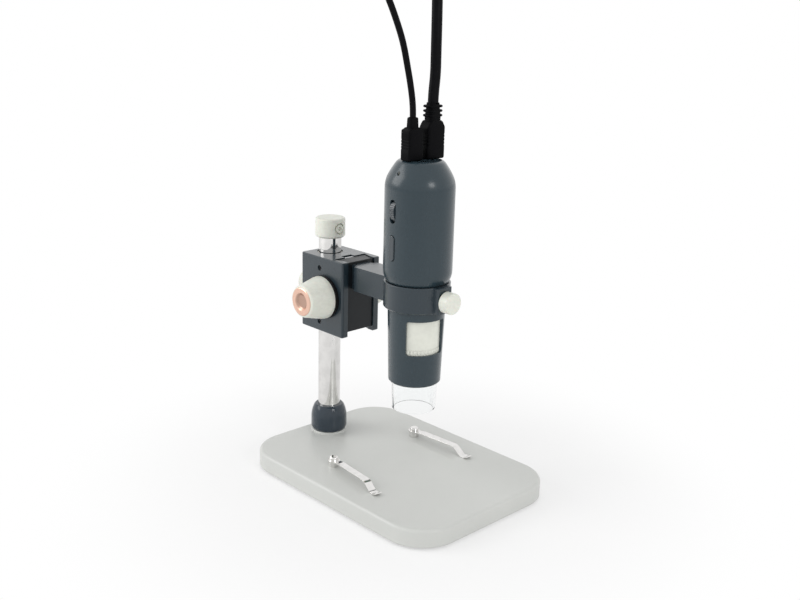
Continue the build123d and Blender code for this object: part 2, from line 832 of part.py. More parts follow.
# ================================================================ ring arm
arm_front = scope_y + ring_radius - 2
arm_back = slide_front - neck_length
boss_depth = scope_y - ring_boss_front
boss_bottom = ring_screw_height - ring_boss_drop
with BuildPart() as ring_arm:
    with BuildSketch(Plane.XY.offset(ring_bottom)):
        with Locations((0, scope_y)):
            Circle(ring_radius)
    extrude(amount=ring_height)
    chamfer(ring_arm.edges().group_by(Axis.Z)[0], 0.6)
    chamfer(ring_arm.edges().group_by(Axis.Z)[-1], 0.4)
    with BuildSketch(Plane.XY.offset(arm_bottom)):
        with Locations((0, (arm_front + arm_back) / 2)):
            Rectangle(arm_width, arm_back - arm_front)
        with Locations((0, (arm_back + slide_front) / 2)):
            Rectangle(neck_width, neck_length)
    extrude(amount=ring_top - arm_bottom)
    with BuildSketch(Plane.XY.offset(boss_bottom)):
        with Locations((0, scope_y - boss_depth / 2)):
            Rectangle(ring_boss_width, boss_depth)
    extrude(amount=ring_top - boss_bottom)
    fillet(ring_arm.edges().filter_by(Axis.Z).group_by(Axis.Y)[0], 1.0)
    with BuildSketch(Plane.XY.offset(ring_bottom)):
        with Locations((0, scope_y)):
            Circle(ring_bore)
    extrude(amount=ring_height, mode=Mode.SUBTRACT)
    with BuildSketch(Plane((0, scope_y, ring_screw_height), x_dir=(1, 0, 0), z_dir=(0, -1, 0))):
        Circle(ring_stud_radius + running)
    extrude(amount=boss_depth, mode=Mode.SUBTRACT)
    with BuildSketch(Plane((0, slide_front, 0), x_dir=(1, 0, 0), z_dir=(0, -1, 0))):
        with Locations(*[(0, z) for z in arm_screw_heights]):
            Circle(arm_screw_radius + running)
    extrude(amount=arm_screw_reach + 1, mode=Mode.SUBTRACT)
save("ring_arm", ring_arm.part)

screw_shoulder = slide_back - arm_screw_depth
with BuildPart() as arm_screws:
    for z in arm_screw_heights:
        with BuildSketch(Plane((0, screw_shoulder, z), x_dir=(1, 0, 0), z_dir=(0, 1, 0))):
            Circle(arm_screw_head)
        extrude(amount=arm_screw_depth - 0.2)
        with BuildSketch(Plane((0, screw_shoulder, z), x_dir=(1, 0, 0), z_dir=(0, -1, 0))):
            Circle(arm_screw_radius)
        extrude(amount=screw_shoulder - slide_front + arm_screw_reach)
        with BuildSketch(Plane((0, slide_back - 0.2, z), x_dir=(1, 0, 0), z_dir=(0, -1, 0))):
            RegularPolygon(arm_screw_key, 6)
        extrude(amount=1.6, mode=Mode.SUBTRACT)
save("arm_screws", arm_screws.part)

with BuildPart() as ring_liner:
    add(
        turned(
            ring_points(liner_bore, ring_bore - running, ring_bottom + 0.8, ring_top - 0.3),
            scope_plane,
            scope_axis,
        )
    )
save("ring_liner", ring_liner.part)

ring_stud_start = scope_y - ring_bore - touch
ring_knob_start = ring_boss_front - ring_knob_gap
with BuildPart() as ring_clamp_stud:
    with BuildSketch(Plane((0, ring_stud_start, ring_screw_height), x_dir=(1, 0, 0), z_dir=(0, -1, 0))):
        Circle(ring_stud_radius)
    extrude(amount=ring_stud_start - ring_knob_start + ring_knob_length - knob_skin)
save("ring_clamp_stud", ring_clamp_stud.part)

save(
    "ring_clamp_knob",
    thumb_knob(
        ring_knob_radius,
        ring_knob_length,
        ring_stud_radius + running,
        ring_knob_length - knob_skin + running,
        ring_knob_start,
        -1,
        ring_screw_height,
    ),
)

# ========================================================= microscope body
def shell_section(inset, low):
    """The body's half section, a straight side that leans in over the shoulder."""
    side = shell_radius - inset
    foot = shell_foot_radius - inset
    bend = (side - 1.8, shell_top - 8.3 - inset * 0.4)
    crown = (shell_radius - 6.0 - inset * 0.8, shell_top - 1.6 - inset * 0.75)
    rim = (shell_radius - 8.9, shell_top - inset)
    foot_top = low + shell_foot_height
    with BuildSketch(scope_plane) as section:
        with BuildLine():
            Polyline((0, shell_top - inset), (0, low), (foot, low))
            belly = (foot + 0.7 * shell_foot_step, low + 0.42 * shell_foot_height)
            ThreePointArc((foot, low), belly, (side, foot_top))
            Line((side, foot_top), (side, shell_shoulder))
            shoulder = TangentArc((side, shell_shoulder), bend, tangent=(0, 1))
            over = TangentArc(bend, crown, tangent=shoulder % 1)
            TangentArc(crown, rim, tangent=over % 1)
            Line(rim, (0, shell_top - inset))
        make_face()
    return section.sketch


plug_places = ((hdmi_x, hdmi_tongue), (usb_x, usb_tongue))
control_out = Vector(cos(radians(control_angle)), sin(radians(control_angle)), 0)
with BuildPart() as main_shell:
    revolve(shell_section(0, shell_bottom), axis=scope_axis)
    revolve(shell_section(shell_wall, shell_bottom + lip_height), axis=scope_axis, mode=Mode.SUBTRACT)
    with BuildSketch(Plane.XY.offset(shell_bottom)):
        with Locations((0, scope_y)):
            Circle(tube_radius + running)
    extrude(amount=tube_overlap + soft_gap, mode=Mode.SUBTRACT)
    with BuildSketch(Plane.XY.offset(socket_level - 2.5)):
        for x, size in plug_places:
            with Locations((x, scope_y)):
                RectangleRounded(size[0] + 1.2, size[1] + 1.2, 0.8)
    extrude(amount=6, mode=Mode.SUBTRACT)
    with BuildSketch(radial_plane(control_angle, shell_radius - 5, wheel_height)):
        SlotOverall(wheel_slot, wheel_width + 1.0)
    extrude(amount=8, mode=Mode.SUBTRACT)
    with BuildSketch(radial_plane(control_angle, shell_radius - 5, button_height)):
        SlotOverall(button_length + 0.5, button_width + 0.5)
    extrude(amount=8, mode=Mode.SUBTRACT)
    with BuildSketch(radial_plane(180, shell_radius / 2, dot_height)):
        Circle(dot_radius + running)
    extrude(amount=shell_radius / 2, mode=Mode.SUBTRACT)
save("main_shell", main_shell.part)

dot_start = shell_radius - 6.4
with BuildPart() as status_light:
    with BuildSketch(radial_plane(180, dot_start, dot_height)):
        Circle(dot_radius)
    extrude(amount=3.2)
    with BuildSketch(radial_plane(180, dot_start - 1, dot_height)):
        Circle(dot_radius + 0.5)
    extrude(amount=1.0)
save("status_light", status_light.part)

window_span = 2 * window_half
with BuildPart() as lower_tube:
    with BuildSketch(scope_plane):
        with BuildLine():
            Polyline(
                (tube_bore, tube_top),
                (tube_bore, focus_bottom - focus_gap),
                (nose_bore, focus_bottom - focus_gap),
                (nose_bore, tube_bottom),
                (tube_nose_radius - 0.8, tube_bottom),
                (tube_nose_radius, tube_bottom + 0.8),
                (tube_radius, ring_bottom),
                (tube_radius, tube_top),
                close=True,
            )
        make_face()
    revolve(axis=scope_axis)
    for middle in (window_angle, window_angle - 180):
        with BuildSketch(Plane.XY.offset(window_bottom)):
            with BuildLine():
                start = middle - window_half
                CenterArc((0, scope_y), tube_radius + 2, start, window_span)
                CenterArc((0, scope_y), tube_bore - 0.5, start, window_span)
                for angle in (start, start + window_span):
                    turn = Vector(cos(radians(angle)), sin(radians(angle)), 0)
                    inner = Vector(0, scope_y, 0) + turn * (tube_bore - 0.5)
                    outer = Vector(0, scope_y, 0) + turn * (tube_radius + 2)
                    Line(inner, outer)
            make_face()
        extrude(amount=window_top - window_bottom, mode=Mode.SUBTRACT)
    window_corners = [
        edge
        for edge in lower_tube.edges().filter_by(GeomType.LINE)
        if window_bottom - 0.1 < edge.center().Z < window_top + 0.1
        and edge.length < 3
    ]
    fillet(window_corners, window_corner)
save("lower_tube", lower_tube.part)

with BuildPart() as focus_ring:
    add(
        turned(
            ring_points(focus_ring_bore, tube_bore - running, focus_bottom, focus_top),
            scope_plane,
            scope_axis,
        )
    )
save("focus_ring", focus_ring.part)

with BuildPart() as ring_retainer:
    add(
        turned(
            ring_points(focus_ring_bore + 0.2, tube_bore - running, retainer_bottom, sensor_bottom),
            scope_plane,
            scope_axis,
        )
    )
save("ring_retainer", ring_retainer.part)

with BuildPart() as lens_cell:
    with BuildSketch(scope_plane):
        with BuildLine():
            Polyline(
                (lens_radius + touch, lens_cell_bottom),
                (focus_ring_bore - running, lens_cell_bottom),
                (focus_ring_bore - running, lens_cell_top),
                (lens_radius + touch, lens_cell_top),
                (lens_radius + touch, lens_cell_top - 4.4),
                (lens_radius - lens_lip, lens_cell_top - 4.4),
                (lens_radius - lens_lip, lens_cell_bottom + 4.7),
                (lens_radius + touch, lens_cell_bottom + 4.7),
                close=True,
            )
        make_face()
    revolve(axis=scope_axis)
save("lens_cell", lens_cell.part)


def biconvex(middle, edge, sag):
    """A lens with two equal spherical faces."""
    sphere_radius = (lens_radius**2 + sag**2) / (2 * sag)
    offset = sphere_radius - sag - edge / 2
    with BuildPart() as lens:
        with BuildSketch(Plane.XY.offset(middle - edge / 2 - sag)):
            with Locations((0, scope_y)):
                Circle(lens_radius)
        extrude(amount=edge + 2 * sag)
        for side in (-1, 1):
            with Locations((0, scope_y, middle + side * offset)):
                Sphere(sphere_radius, mode=Mode.INTERSECT)
    return lens.part


save("front_lens", biconvex(lens_cell_bottom + 3.6, lens_edge, lens_sag))
save("rear_lens", biconvex(lens_cell_top - 3.2, lens_edge, lens_sag))

with BuildPart() as lens_retainer:
    add(
        turned(
            ring_points(lens_radius - lens_lip, lens_radius, lens_cell_bottom, lens_cell_bottom + 2.45),
            scope_plane,
            scope_axis,
        )
    )
save("lens_retainer", lens_retainer.part)

with BuildPart() as clear_tip:
    with BuildSketch(scope_plane):
        with BuildLine():
            Polyline(
                (tip_radius - tip_wall, tip_bottom),
                (tip_radius - 0.3, tip_bottom),
                (tip_radius, tip_bottom + 0.3),
                (nose_bore + 0.4, tube_bottom - touch),
                (nose_bore - running, tube_bottom - touch),
                (nose_bore - running, spigot_top),
                (nose_bore - running - tip_wall, spigot_top),
                close=True,
            )
        make_face()
    revolve(axis=scope_axis)
save("clear_tip", clear_tip.part)

led_seat = spigot_top + touch
with BuildPart() as led_board:
    add(
        turned(
            ring_points(led_board_hole, nose_bore - running, led_seat, led_seat + board_thickness),
            scope_plane,
            scope_axis,
        )
    )
save("led_board", led_board.part)

with BuildPart() as leds:
    with BuildSketch(Plane.XY.offset(led_seat)):
        with Locations((0, scope_y)):
            with PolarLocations(led_circle, led_count):
                Circle(led_radius)
    extrude(amount=-1.8)
    fillet(leds.edges().group_by(Axis.Z)[0], 0.8)
save("leds", leds.part)

# boards and what they carry
with BuildPart() as sensor_board:
    with BuildSketch(Plane.XY.offset(sensor_bottom)):
        with Locations((0, scope_y)):
            Circle(tube_bore - 0.1)
    extrude(amount=board_thickness)
save("sensor_board", sensor_board.part)

with BuildPart() as image_sensor:
    with BuildSketch(Plane.XY.offset(sensor_bottom)):
        with Locations((0, scope_y)):
            Rectangle(9, 9)
    extrude(amount=-1.4)
    chamfer(image_sensor.edges().group_by(Axis.Z)[0], 0.2)
save("image_sensor", image_sensor.part)

with BuildPart() as main_board:
    with BuildSketch(Plane.XY.offset(board_bottom)):
        with Locations((0, board_face + board_thickness / 2)):
            Rectangle(board_width, board_thickness)
    extrude(amount=board_top - board_bottom)
save("main_board", main_board.part)

with BuildPart() as board_chips:
    chip_plane = Plane((0, board_face, 0), x_dir=(1, 0, 0), z_dir=(0, -1, 0))
    with BuildSketch(chip_plane):
        with Locations((3, 158)):
            Rectangle(12, 12)
    extrude(amount=1.6)
    with BuildSketch(chip_plane):
        with Locations((4, 176), (4, 142)):
            Rectangle(9, 6)
    extrude(amount=1.0)
save("board_chips", board_chips.part)

with BuildPart() as socket_board:
    with BuildSketch(Plane.XY.offset(board_top)):
        with Locations((0, scope_y)):
            Circle(socket_board_radius)
            with Locations((0, 12 + board_y + board_thickness), (0, -20)):
                Rectangle(40, 24, mode=Mode.SUBTRACT)
    extrude(amount=board_thickness)
save("socket_board", socket_board.part)


def socket(x, size):
    """A sheet-metal socket that stands on the socket board, open at the top."""
    low = board_top + board_thickness
    with BuildPart() as shell:
        with BuildSketch(Plane.XY.offset(low)):
            with Locations((x, scope_y)):
                Rectangle(size[0] + 1.0, size[1] + 1.0)
        extrude(amount=socket_level - 1.8 - low)
        with BuildSketch(Plane.XY.offset(low + 0.6)):
            with Locations((x, scope_y)):
                Rectangle(size[0] + 0.1, size[1] + 0.1)
        extrude(amount=socket_level - low, mode=Mode.SUBTRACT)
    return shell.part


save("hdmi_socket", socket(hdmi_x, hdmi_tongue))
save("usb_socket", socket(usb_x, usb_tongue))

# brightness wheel on its potentiometer, and the long snap button
wheel_reach = shell_radius + wheel_proud - wheel_radius
wheel_centre = Vector(0, scope_y, wheel_height) + control_out * wheel_reach
wheel_along = Vector(-sin(radians(control_angle)), cos(radians(control_angle)), 0)
wheel_plane = Plane(wheel_centre, x_dir=(0, 0, 1), z_dir=wheel_along)
with BuildPart() as dimmer_wheel:
    with BuildSketch(wheel_plane.offset(-wheel_width / 2)):
        Circle(wheel_radius)
        Circle(wheel_axle + running, mode=Mode.SUBTRACT)
        with PolarLocations(wheel_radius, 40):
            Circle(0.22, mode=Mode.SUBTRACT)
    extrude(amount=wheel_width)
save("dimmer_wheel", dimmer_wheel.part)

pot_front = wheel_width / 2 + 0.5
pot_depth = abs((wheel_centre.Y - board_face) / wheel_along.Y) - pot_front
pot_side = -1 if wheel_along.Y < 0 else 1
with BuildPart() as dimmer_pot:
    with BuildSketch(wheel_plane.offset(pot_side * pot_front)):
        Rectangle(7, 5.0)
    extrude(amount=pot_side * (pot_depth - 0.25))
    with BuildSketch(wheel_plane.offset(-pot_side * (wheel_width / 2 + 0.4))):
        Circle(wheel_axle)
    extrude(amount=pot_side * (wheel_width + 1.2))
save("dimmer_pot", dimmer_pot.part)

button_plane = radial_plane(control_angle, 0, button_height)
flange_outer = shell_radius - shell_wall - 0.6
flange_inner = flange_outer - button_flange
button_stem = flange_inner - 2.0
with BuildPart() as snap_button:
    with BuildSketch(button_plane.offset(flange_outer)):
        SlotOverall(button_length, button_width)
    extrude(amount=shell_radius + button_proud - flange_outer)
    fillet(snap_button.faces().sort_by(Axis.X)[0].edges(), 0.4)
    with BuildSketch(button_plane.offset(flange_inner)):
        SlotOverall(button_length + 2.4, button_width + 1.6)
    extrude(amount=button_flange)
    with BuildSketch(button_plane.offset(button_stem)):
        Circle(button_stem_radius)
    extrude(amount=flange_inner - button_stem)
save("snap_button", snap_button.part)

switch_top = button_stem - switch_gap
with BuildPart() as button_board:
    with BuildSketch(button_plane.offset(switch_top - switch_height)):
        with Locations((0, 1.2 * pot_side)):
            Rectangle(16, 9.6)
    extrude(amount=-1.0)
    with BuildSketch(button_plane.offset(switch_top - switch_height)):
        Rectangle(4.5, 4.5)
    extrude(amount=switch_height)
save("button_board", button_board.part)

# ==================================================== plugs and their cords
def plug_body(x, body, tongue, corner, shoulder):
    """A moulded plug with sloped shoulders on the body's top, its metal tongue below."""
    low = shell_top + plug_gap
    run, drop = shoulder
    half = body[0] / 2
    high = low + body[2]
    outline = [
        (x - half, low),
        (x + half, low),
        (x + half, high - drop),
        (x + half - run, high),
        (x - half + run, high),
        (x - half, high - drop),
    ]
    with BuildPart() as plug:
        with BuildSketch(Plane.XY.offset(low)):
            with Locations((x, scope_y)):
                RectangleRounded(body[0], body[1], corner)
        extrude(amount=body[2])
        with BuildSketch(scope_plane):
            with BuildLine():
                Polyline(outline, close=True)
            make_face()
        extrude(amount=body[1], both=True, mode=Mode.INTERSECT)
        fillet(plug.faces().sort_by(Axis.Z)[-1].edges(), 0.8)
        chamfer(plug.faces().sort_by(Axis.Z)[0].edges(), 0.3)
        with BuildSketch(Plane.XY.offset(low - tongue[2])):
            with Locations((x, scope_y)):
                Rectangle(tongue[0], tongue[1])
        extrude(amount=tongue[2])
    return plug.part


hdmi_relief_low = shell_top + plug_gap + hdmi_body[2]
usb_relief_low = shell_top + plug_gap + usb_body[2]
hdmi_exit = hdmi_relief_low + hdmi_relief
usb_exit = usb_relief_low + usb_relief
with BuildPart() as hdmi_plug:
    add(plug_body(hdmi_x, hdmi_body, hdmi_tongue, 1.5, hdmi_shoulder))
    with BuildSketch(Plane.XY.offset(hdmi_relief_low)):
        with Locations((hdmi_x, scope_y)):
            RectangleRounded(hdmi_collar[0], hdmi_collar[1], 2.0)
    extrude(amount=hdmi_relief)
    for k in range(3):
        flange_low = hdmi_relief_low + hdmi_flange_first + k * hdmi_flange_pitch
        with BuildSketch(Plane.XY.offset(flange_low)):
            with Locations((hdmi_x, scope_y)):
                RectangleRounded(hdmi_flange[0], hdmi_flange[1], 2.4)
        extrude(amount=hdmi_flange_thickness)
save("hdmi_plug", hdmi_plug.part)

with BuildPart() as usb_plug:
    add(plug_body(usb_x, usb_body, usb_tongue, 1.3, usb_shoulder))
    with BuildSketch(Plane.XY.offset(usb_relief_low)):
        with Locations((usb_x, scope_y)):
            RectangleRounded(usb_collar[0], usb_collar[1], 2.0)
    extrude(amount=usb_relief, taper=3)
save("usb_plug", usb_plug.part)

hdmi_route = [
    (hdmi_x, scope_y, hdmi_exit),
    (hdmi_x, scope_y, 234.0),
    (hdmi_x + 1.2, scope_y, 244.5),
    (hdmi_x + 1.0, scope_y, 256.0),
    (hdmi_x + 1.3, scope_y + 0.4, 268.0),
    (hdmi_x + 1.9, scope_y + 1.2, 280.0),
    (hdmi_x + 2.8, scope_y + 2.4, 292.0),
]
usb_route = [
    (usb_x, scope_y, usb_exit),
    (usb_x, scope_y, 227.5),
    (usb_x - 2.0, scope_y, 238.0),
    (usb_x - 5.0, scope_y, 249.0),
    (usb_x - 8.6, scope_y, 261.5),
    (usb_x - 13.3, scope_y + 0.2, 272.0),
    (usb_x - 18.4, scope_y + 0.5, 282.0),
    (usb_x - 23.8, scope_y + 0.9, 291.5),
]


def corner_radii(points):
    """The arc at each inner point, 0.45 of the shorter run over tan of half the turn."""
    radii = []
    for before, here, after in zip(points, points[1:], points[2:]):
        way_in = Vector(*here) - Vector(*before)
        way_out = Vector(*after) - Vector(*here)
        half_turn = radians(way_in.get_angle(way_out)) / 2
        radii.append(0.45 * min(way_in.length, way_out.length) / tan(half_turn))
    return radii


def cord_tube(points, diameter):
    """A cord's tube, straight runs joined by tangent arcs."""
    radii = corner_radii(points)
    print("bend radii, mm:", [round(r) for r in radii])
    with BuildPart() as tube:
        with BuildLine() as path:
            FilletPolyline(*points, radius=radii)
        direction = Vector(*points[1]) - Vector(*points[0])
        with BuildSketch(Plane(points[0], z_dir=direction)):
            Circle(diameter / 2)
        sweep(path=path.wires()[0])
    length = path.wires()[0].length
    print("cord length, mm:", round(length, 1), "volume ratio:",
          round(tube.part.volume / (pi * diameter**2 / 4 * length), 4))
    return tube.part


save("hdmi_cable", cord_tube(hdmi_route, hdmi_cord))
save("usb_cable", cord_tube(usb_route, usb_cord))


def far_plug(route, relief, body, metal):
    """The plug on a cord's far end, in line with the cord's last run."""
    last = Vector(*route[-1])
    way = (last - Vector(*route[-2])).normalized()
    plane = Plane(last, x_dir=(way.Z, 0, -way.X), z_dir=way)
    with BuildPart() as plug:
        with BuildSketch(plane):
            Circle(relief[0])
        extrude(amount=relief[1])
        with BuildSketch(plane.offset(relief[1])):
            RectangleRounded(body[0], body[1], body[1] / 4)
        extrude(amount=body[2])
        with BuildSketch(plane.offset(relief[1] + body[2])):
            Rectangle(metal[0], metal[1])
        extrude(amount=metal[2])
    return plug.part


save("hdmi_far_plug", far_plug(hdmi_route, (4.2, 8.0), (20.5, 10.5, 24.0), (14.0, 4.5, 11.0)))
save("usb_far_plug", far_plug(usb_route, (3.2, 7.0), (15.6, 7.6, 20.0), (12.0, 4.5, 12.0)))

# ============================================================= stage clips
clip_bottom = base_top + clip_rise
clip_path = [
    (0, 0.3),
    (4.2, 0.3),
    (7.5, 1.0),
    (clip_length - 11.5, 1.5),
    (clip_length - 5.6, 0.4 - clip_rise),
    (clip_length - 2.8, 0.4 - clip_rise),
    (clip_length, 1.5 - clip_rise),
]


def clip_plane(x, yaw):
    """The clip's own plane: x along the strip, away from its post, and y up."""
    along = Vector(sin(radians(yaw)), -cos(radians(yaw)), 0)
    flat = Vector(-cos(radians(yaw)), -sin(radians(yaw)), 0)
    return Plane((x, clip_y, clip_bottom), x_dir=along, z_dir=flat)


def clip_spring(x, yaw):
    """A bent strip of spring steel with an eye round its post."""
    with BuildPart() as spring:
        with BuildSketch(clip_plane(x, yaw)):
            with BuildLine() as bent:
                FilletPolyline(*clip_path, radius=[6, 5, 5, 2.4, 2.4])
            trace(line_width=clip_sheet)
        extrude(amount=clip_width / 2, both=True)
        with BuildSketch(Plane.XY.offset(clip_bottom + 0.3 - clip_sheet / 2)):
            with Locations((x, clip_y)):
                Circle(post_head + 0.9)
        extrude(amount=clip_sheet)
        with BuildSketch(Plane.XY.offset(clip_bottom - 2)):
            with Locations((x, clip_y)):
                Circle(post_radius + running)
        extrude(amount=5, mode=Mode.SUBTRACT)
    return spring.part


def clip_post(x):
    """The clip's post: a shank through the base, a spacer, a round head and a nut below."""
    sheet_low = clip_bottom + 0.3 - clip_sheet / 2
    sheet_high = sheet_low + clip_sheet
    with BuildPart() as post:
        for radius, low, high in (
            (clip_nut_radius, cavity_roof - clip_nut_height, cavity_roof),
            (post_radius, cavity_roof, sheet_high + 1),
            (post_head + 0.5, base_top, sheet_low - 0.05),
            (post_head, sheet_high + 0.05, sheet_high + post_head_height),
        ):
            with BuildSketch(Plane.XY.offset(low)):
                with Locations((x, clip_y)):
                    Circle(radius)
            extrude(amount=high - low)
        fillet(post.edges().group_by(Axis.Z)[-1], 0.8)
    return post.part


for name, x, yaw in (("left", -clip_x, clip_yaw[0]), ("right", clip_x, clip_yaw[1])):
    save(f"clip_spring_{name}", clip_spring(x, yaw))

with BuildPart() as clip_posts:
    add(clip_post(-clip_x))
    add(clip_post(clip_x))
save("clip_posts", clip_posts.part)
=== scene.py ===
"""Finishes, cords, plugs and studio for a hand-held digital microscope on its focusing stand.

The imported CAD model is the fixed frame. This file gives its pieces their finishes, adds the cords,
their moulded plugs and the scalloped focus ring, and sets up the camera, the floor and the lamps.
"""

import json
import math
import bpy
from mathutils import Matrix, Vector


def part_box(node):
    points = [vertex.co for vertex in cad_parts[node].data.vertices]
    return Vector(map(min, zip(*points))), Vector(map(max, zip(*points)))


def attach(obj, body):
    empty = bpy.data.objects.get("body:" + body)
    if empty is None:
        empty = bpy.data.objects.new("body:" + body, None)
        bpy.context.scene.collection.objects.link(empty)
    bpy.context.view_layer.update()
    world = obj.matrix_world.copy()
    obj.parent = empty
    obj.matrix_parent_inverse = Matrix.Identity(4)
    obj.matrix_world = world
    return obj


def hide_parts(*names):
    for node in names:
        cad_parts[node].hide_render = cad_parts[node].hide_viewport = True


bl_info = {
    "name": "Stand Microscope Finish",
    "version": (1, 0, 0),
    "blender": (4, 5, 0),
    "location": "View3D > Sidebar > Microscope",
    "description": "Builds the looks of a hand-held digital microscope on its focusing stand",
    "category": "Object",
}

import bmesh
import bpy
from mathutils import Matrix, Vector

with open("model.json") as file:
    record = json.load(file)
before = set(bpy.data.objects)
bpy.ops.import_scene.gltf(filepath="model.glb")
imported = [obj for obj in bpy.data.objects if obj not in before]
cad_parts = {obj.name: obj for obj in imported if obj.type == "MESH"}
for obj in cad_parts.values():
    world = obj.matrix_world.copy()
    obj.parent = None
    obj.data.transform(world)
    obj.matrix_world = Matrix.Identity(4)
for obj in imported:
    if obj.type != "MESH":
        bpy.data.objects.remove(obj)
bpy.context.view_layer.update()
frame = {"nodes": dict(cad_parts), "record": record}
MM = 0.001
MICRON = 0.000001


def middle_of(node):
    """The middle of a CAD node's box, in metres."""
    low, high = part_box(node)
    return (low + high) / 2


# --------------------------------------------------------------- settings
def colour(name, text, value):
    """A linear colour property."""
    return bpy.props.FloatVectorProperty(
        name=name, description=text, default=value, size=3, min=0, max=1, subtype="COLOR"
    )


def distance(name, text, value):
    """A length property, in metres."""
    return bpy.props.FloatProperty(name=name, description=text, default=value, unit="LENGTH")


class FinishSettings(bpy.types.PropertyGroup):
    """Colours of the object's finishes."""

    body: colour("Body", "Dark satin plastic of the microscope's body", (0.024, 0.043, 0.055))
    metalwork: colour("Metalwork", "Anodised block, carriage and ring arm", (0.019, 0.033, 0.044))
    carriage: colour("Carriage", "Black anodised dovetail carriage", (0.010, 0.013, 0.016))
    cream: colour("Cream", "Knobs, pillar cap and focus ring", (0.84, 0.85, 0.765))
    base: colour("Base", "Powder coat of the base", (0.665, 0.675, 0.648))
    collar: colour("Collar", "Gloss paint of the pillar's foot collar", (0.030, 0.045, 0.062))
    copper: colour("Copper", "Spun caps in the ends of the focus knobs", (0.80, 0.53, 0.42))
    cable: colour("Cable", "Jackets and plug mouldings", (0.0030, 0.0030, 0.0038))


class CordSettings(bpy.types.PropertyGroup):
    """Sizes of the two cords and their plugs."""

    hdmi_diameter: distance("Video Cord", "Diameter of the video cord", 6.0 * MM)
    usb_diameter: distance("Power Cord", "Diameter of the power cord", 3.5 * MM)
    flange_gap: distance("Flange Pitch", "Distance between the strain relief's flanges", 2.5 * MM)
    flange_thickness: distance("Flange Thickness", "Thickness of one flange", 1.3 * MM)


class RingSettings(bpy.types.PropertyGroup):
    """Sizes of the focus ring's ribs."""

    ribs: bpy.props.IntProperty(
        name="Ribs", description="Scallops round the focus ring", default=40, min=8
    )
    rib_width: distance("Rib Width", "Width of one scallop", 1.7 * MM)
    rib_depth: distance("Rib Depth", "How far a scallop stands out", 0.30 * MM)
    rib_height: distance("Rib Height", "Height of the scalloped band", 2.4 * MM)


class StudioSettings(bpy.types.PropertyGroup):
    """Camera and light."""

    lens: bpy.props.FloatProperty(name="Lens", description="Focal length in mm", default=46.47)
    floor_size: distance("Floor", "Half the width of the floor", 30.0)
    key: bpy.props.FloatProperty(
        name="Key Light", description="Power of the key light in W", default=5.4
    )
    fill: bpy.props.FloatProperty(
        name="Sky", description="Strength of the even light", default=0.72
    )


def settings(name):
    """One of the scene's property groups."""
    return getattr(bpy.context.scene, name)


def placed(name, data):
    """A new object with its data, in the scene."""
    obj = bpy.data.objects.new(name, data)
    bpy.context.scene.collection.objects.link(obj)
    return obj


# ---------------------------------------------------------- shader groups
class Nodes:
    """A node tree under construction, with short ways to add and join its nodes."""

    def __init__(self, tree):
        self.tree = tree

    def add(self, kind, _settings=None, **inputs):
        """Adds a node, sets its properties and sets or links its inputs by name."""
        node = self.tree.nodes.new(kind)
        for key, value in (_settings or {}).items():
            setattr(node, key, value)
        for key, value in inputs.items():
            self.feed(node, key.replace("_", " "), value)
        return node

    def feed(self, node, key, value):
        """Sets or links an input. A key may be a name or a number."""
        self.join(node.inputs[int(key)] if key.isdigit() else node.inputs[key], value)

    def join(self, socket, value):
        """Sets a socket, or links it when the value is a socket too."""
        if isinstance(value, bpy.types.NodeSocket):
            self.tree.links.new(value, socket)
        elif socket.type == "RGBA" and len(value) == 3:
            socket.default_value = (*value, 1.0)
        else:
            socket.default_value = value

    def maths(self, operation, first, second=0.0, third=None, clamp=False):
        """A Math node's result."""
        node = self.tree.nodes.new("ShaderNodeMath")
        node.operation = operation
        node.use_clamp = clamp
        for key, value in zip("012", (first, second, third)):
            if value is not None:
                self.feed(node, key, value)
        return node.outputs[0]

    def vector(self, operation, first, second=(0, 0, 0), output="Vector"):
        """A Vector Math node's result."""
        node = self.tree.nodes.new("ShaderNodeVectorMath")
        node.operation = operation
        self.feed(node, "0", first)
        self.feed(node, "1", second)
        return node.outputs[output]

    def span(self, value, low, high, to_low=0.0, to_high=1.0, smooth=True):
        """A value taken from one span to another, held at its ends."""
        node = self.tree.nodes.new("ShaderNodeMapRange")
        node.interpolation_type = "SMOOTHSTEP" if smooth else "LINEAR"
        for key, item in zip("01234", (value, low, high, to_low, to_high)):
            self.feed(node, key, item)
        return node.outputs[0]

    def blend(self, factor, first, second, mode="MIX"):
        """A Mix node's colour."""
        node = self.tree.nodes.new("ShaderNodeMix")
        node.data_type = "RGBA"
        node.blend_type = mode
        for key, item in (("Factor", factor), ("A", first), ("B", second)):
            for socket in node.inputs:
                if socket.name == key and socket.enabled:
                    self.join(socket, item)
        return next(o for o in node.outputs if o.enabled)

    def noise(self, vector, scale, detail=3.0, roughness=0.55):
        """A noise value."""
        return self.add(
            "ShaderNodeTexNoise", Vector=vector, Scale=scale, Detail=detail, Roughness=roughness
        ).outputs["Fac"]

    def from_axis(self, vector):
        """A vector's distance from the Z axis, and its height along it."""
        parts = self.add("ShaderNodeSeparateXYZ", Vector=vector).outputs
        flat = self.add("ShaderNodeCombineXYZ", X=parts["X"], Y=parts["Y"])
        return self.vector("LENGTH", flat.outputs[0], output="Value"), parts["Z"]


GROUPS = {}


def group(name, inputs, outputs, build):
    """A shader node group with named sockets, built once."""
    if name not in GROUPS:
        tree = bpy.data.node_groups.new(name, "ShaderNodeTree")
        for label, kind, default in inputs:
            socket = tree.interface.new_socket(name=label, in_out="INPUT", socket_type=kind)
            if default is not None:
                socket.default_value = default
        for label, kind in outputs:
            tree.interface.new_socket(name=label, in_out="OUTPUT", socket_type=kind)
        nodes = Nodes(tree)
        start = tree.nodes.new("NodeGroupInput").outputs
        end = tree.nodes.new("NodeGroupOutput")
        for label, value in build(nodes, start).items():
            nodes.feed(end, label, value)
        GROUPS[name] = tree
    return GROUPS[name]


FLOAT = "NodeSocketFloat"
VECTOR = "NodeSocketVector"


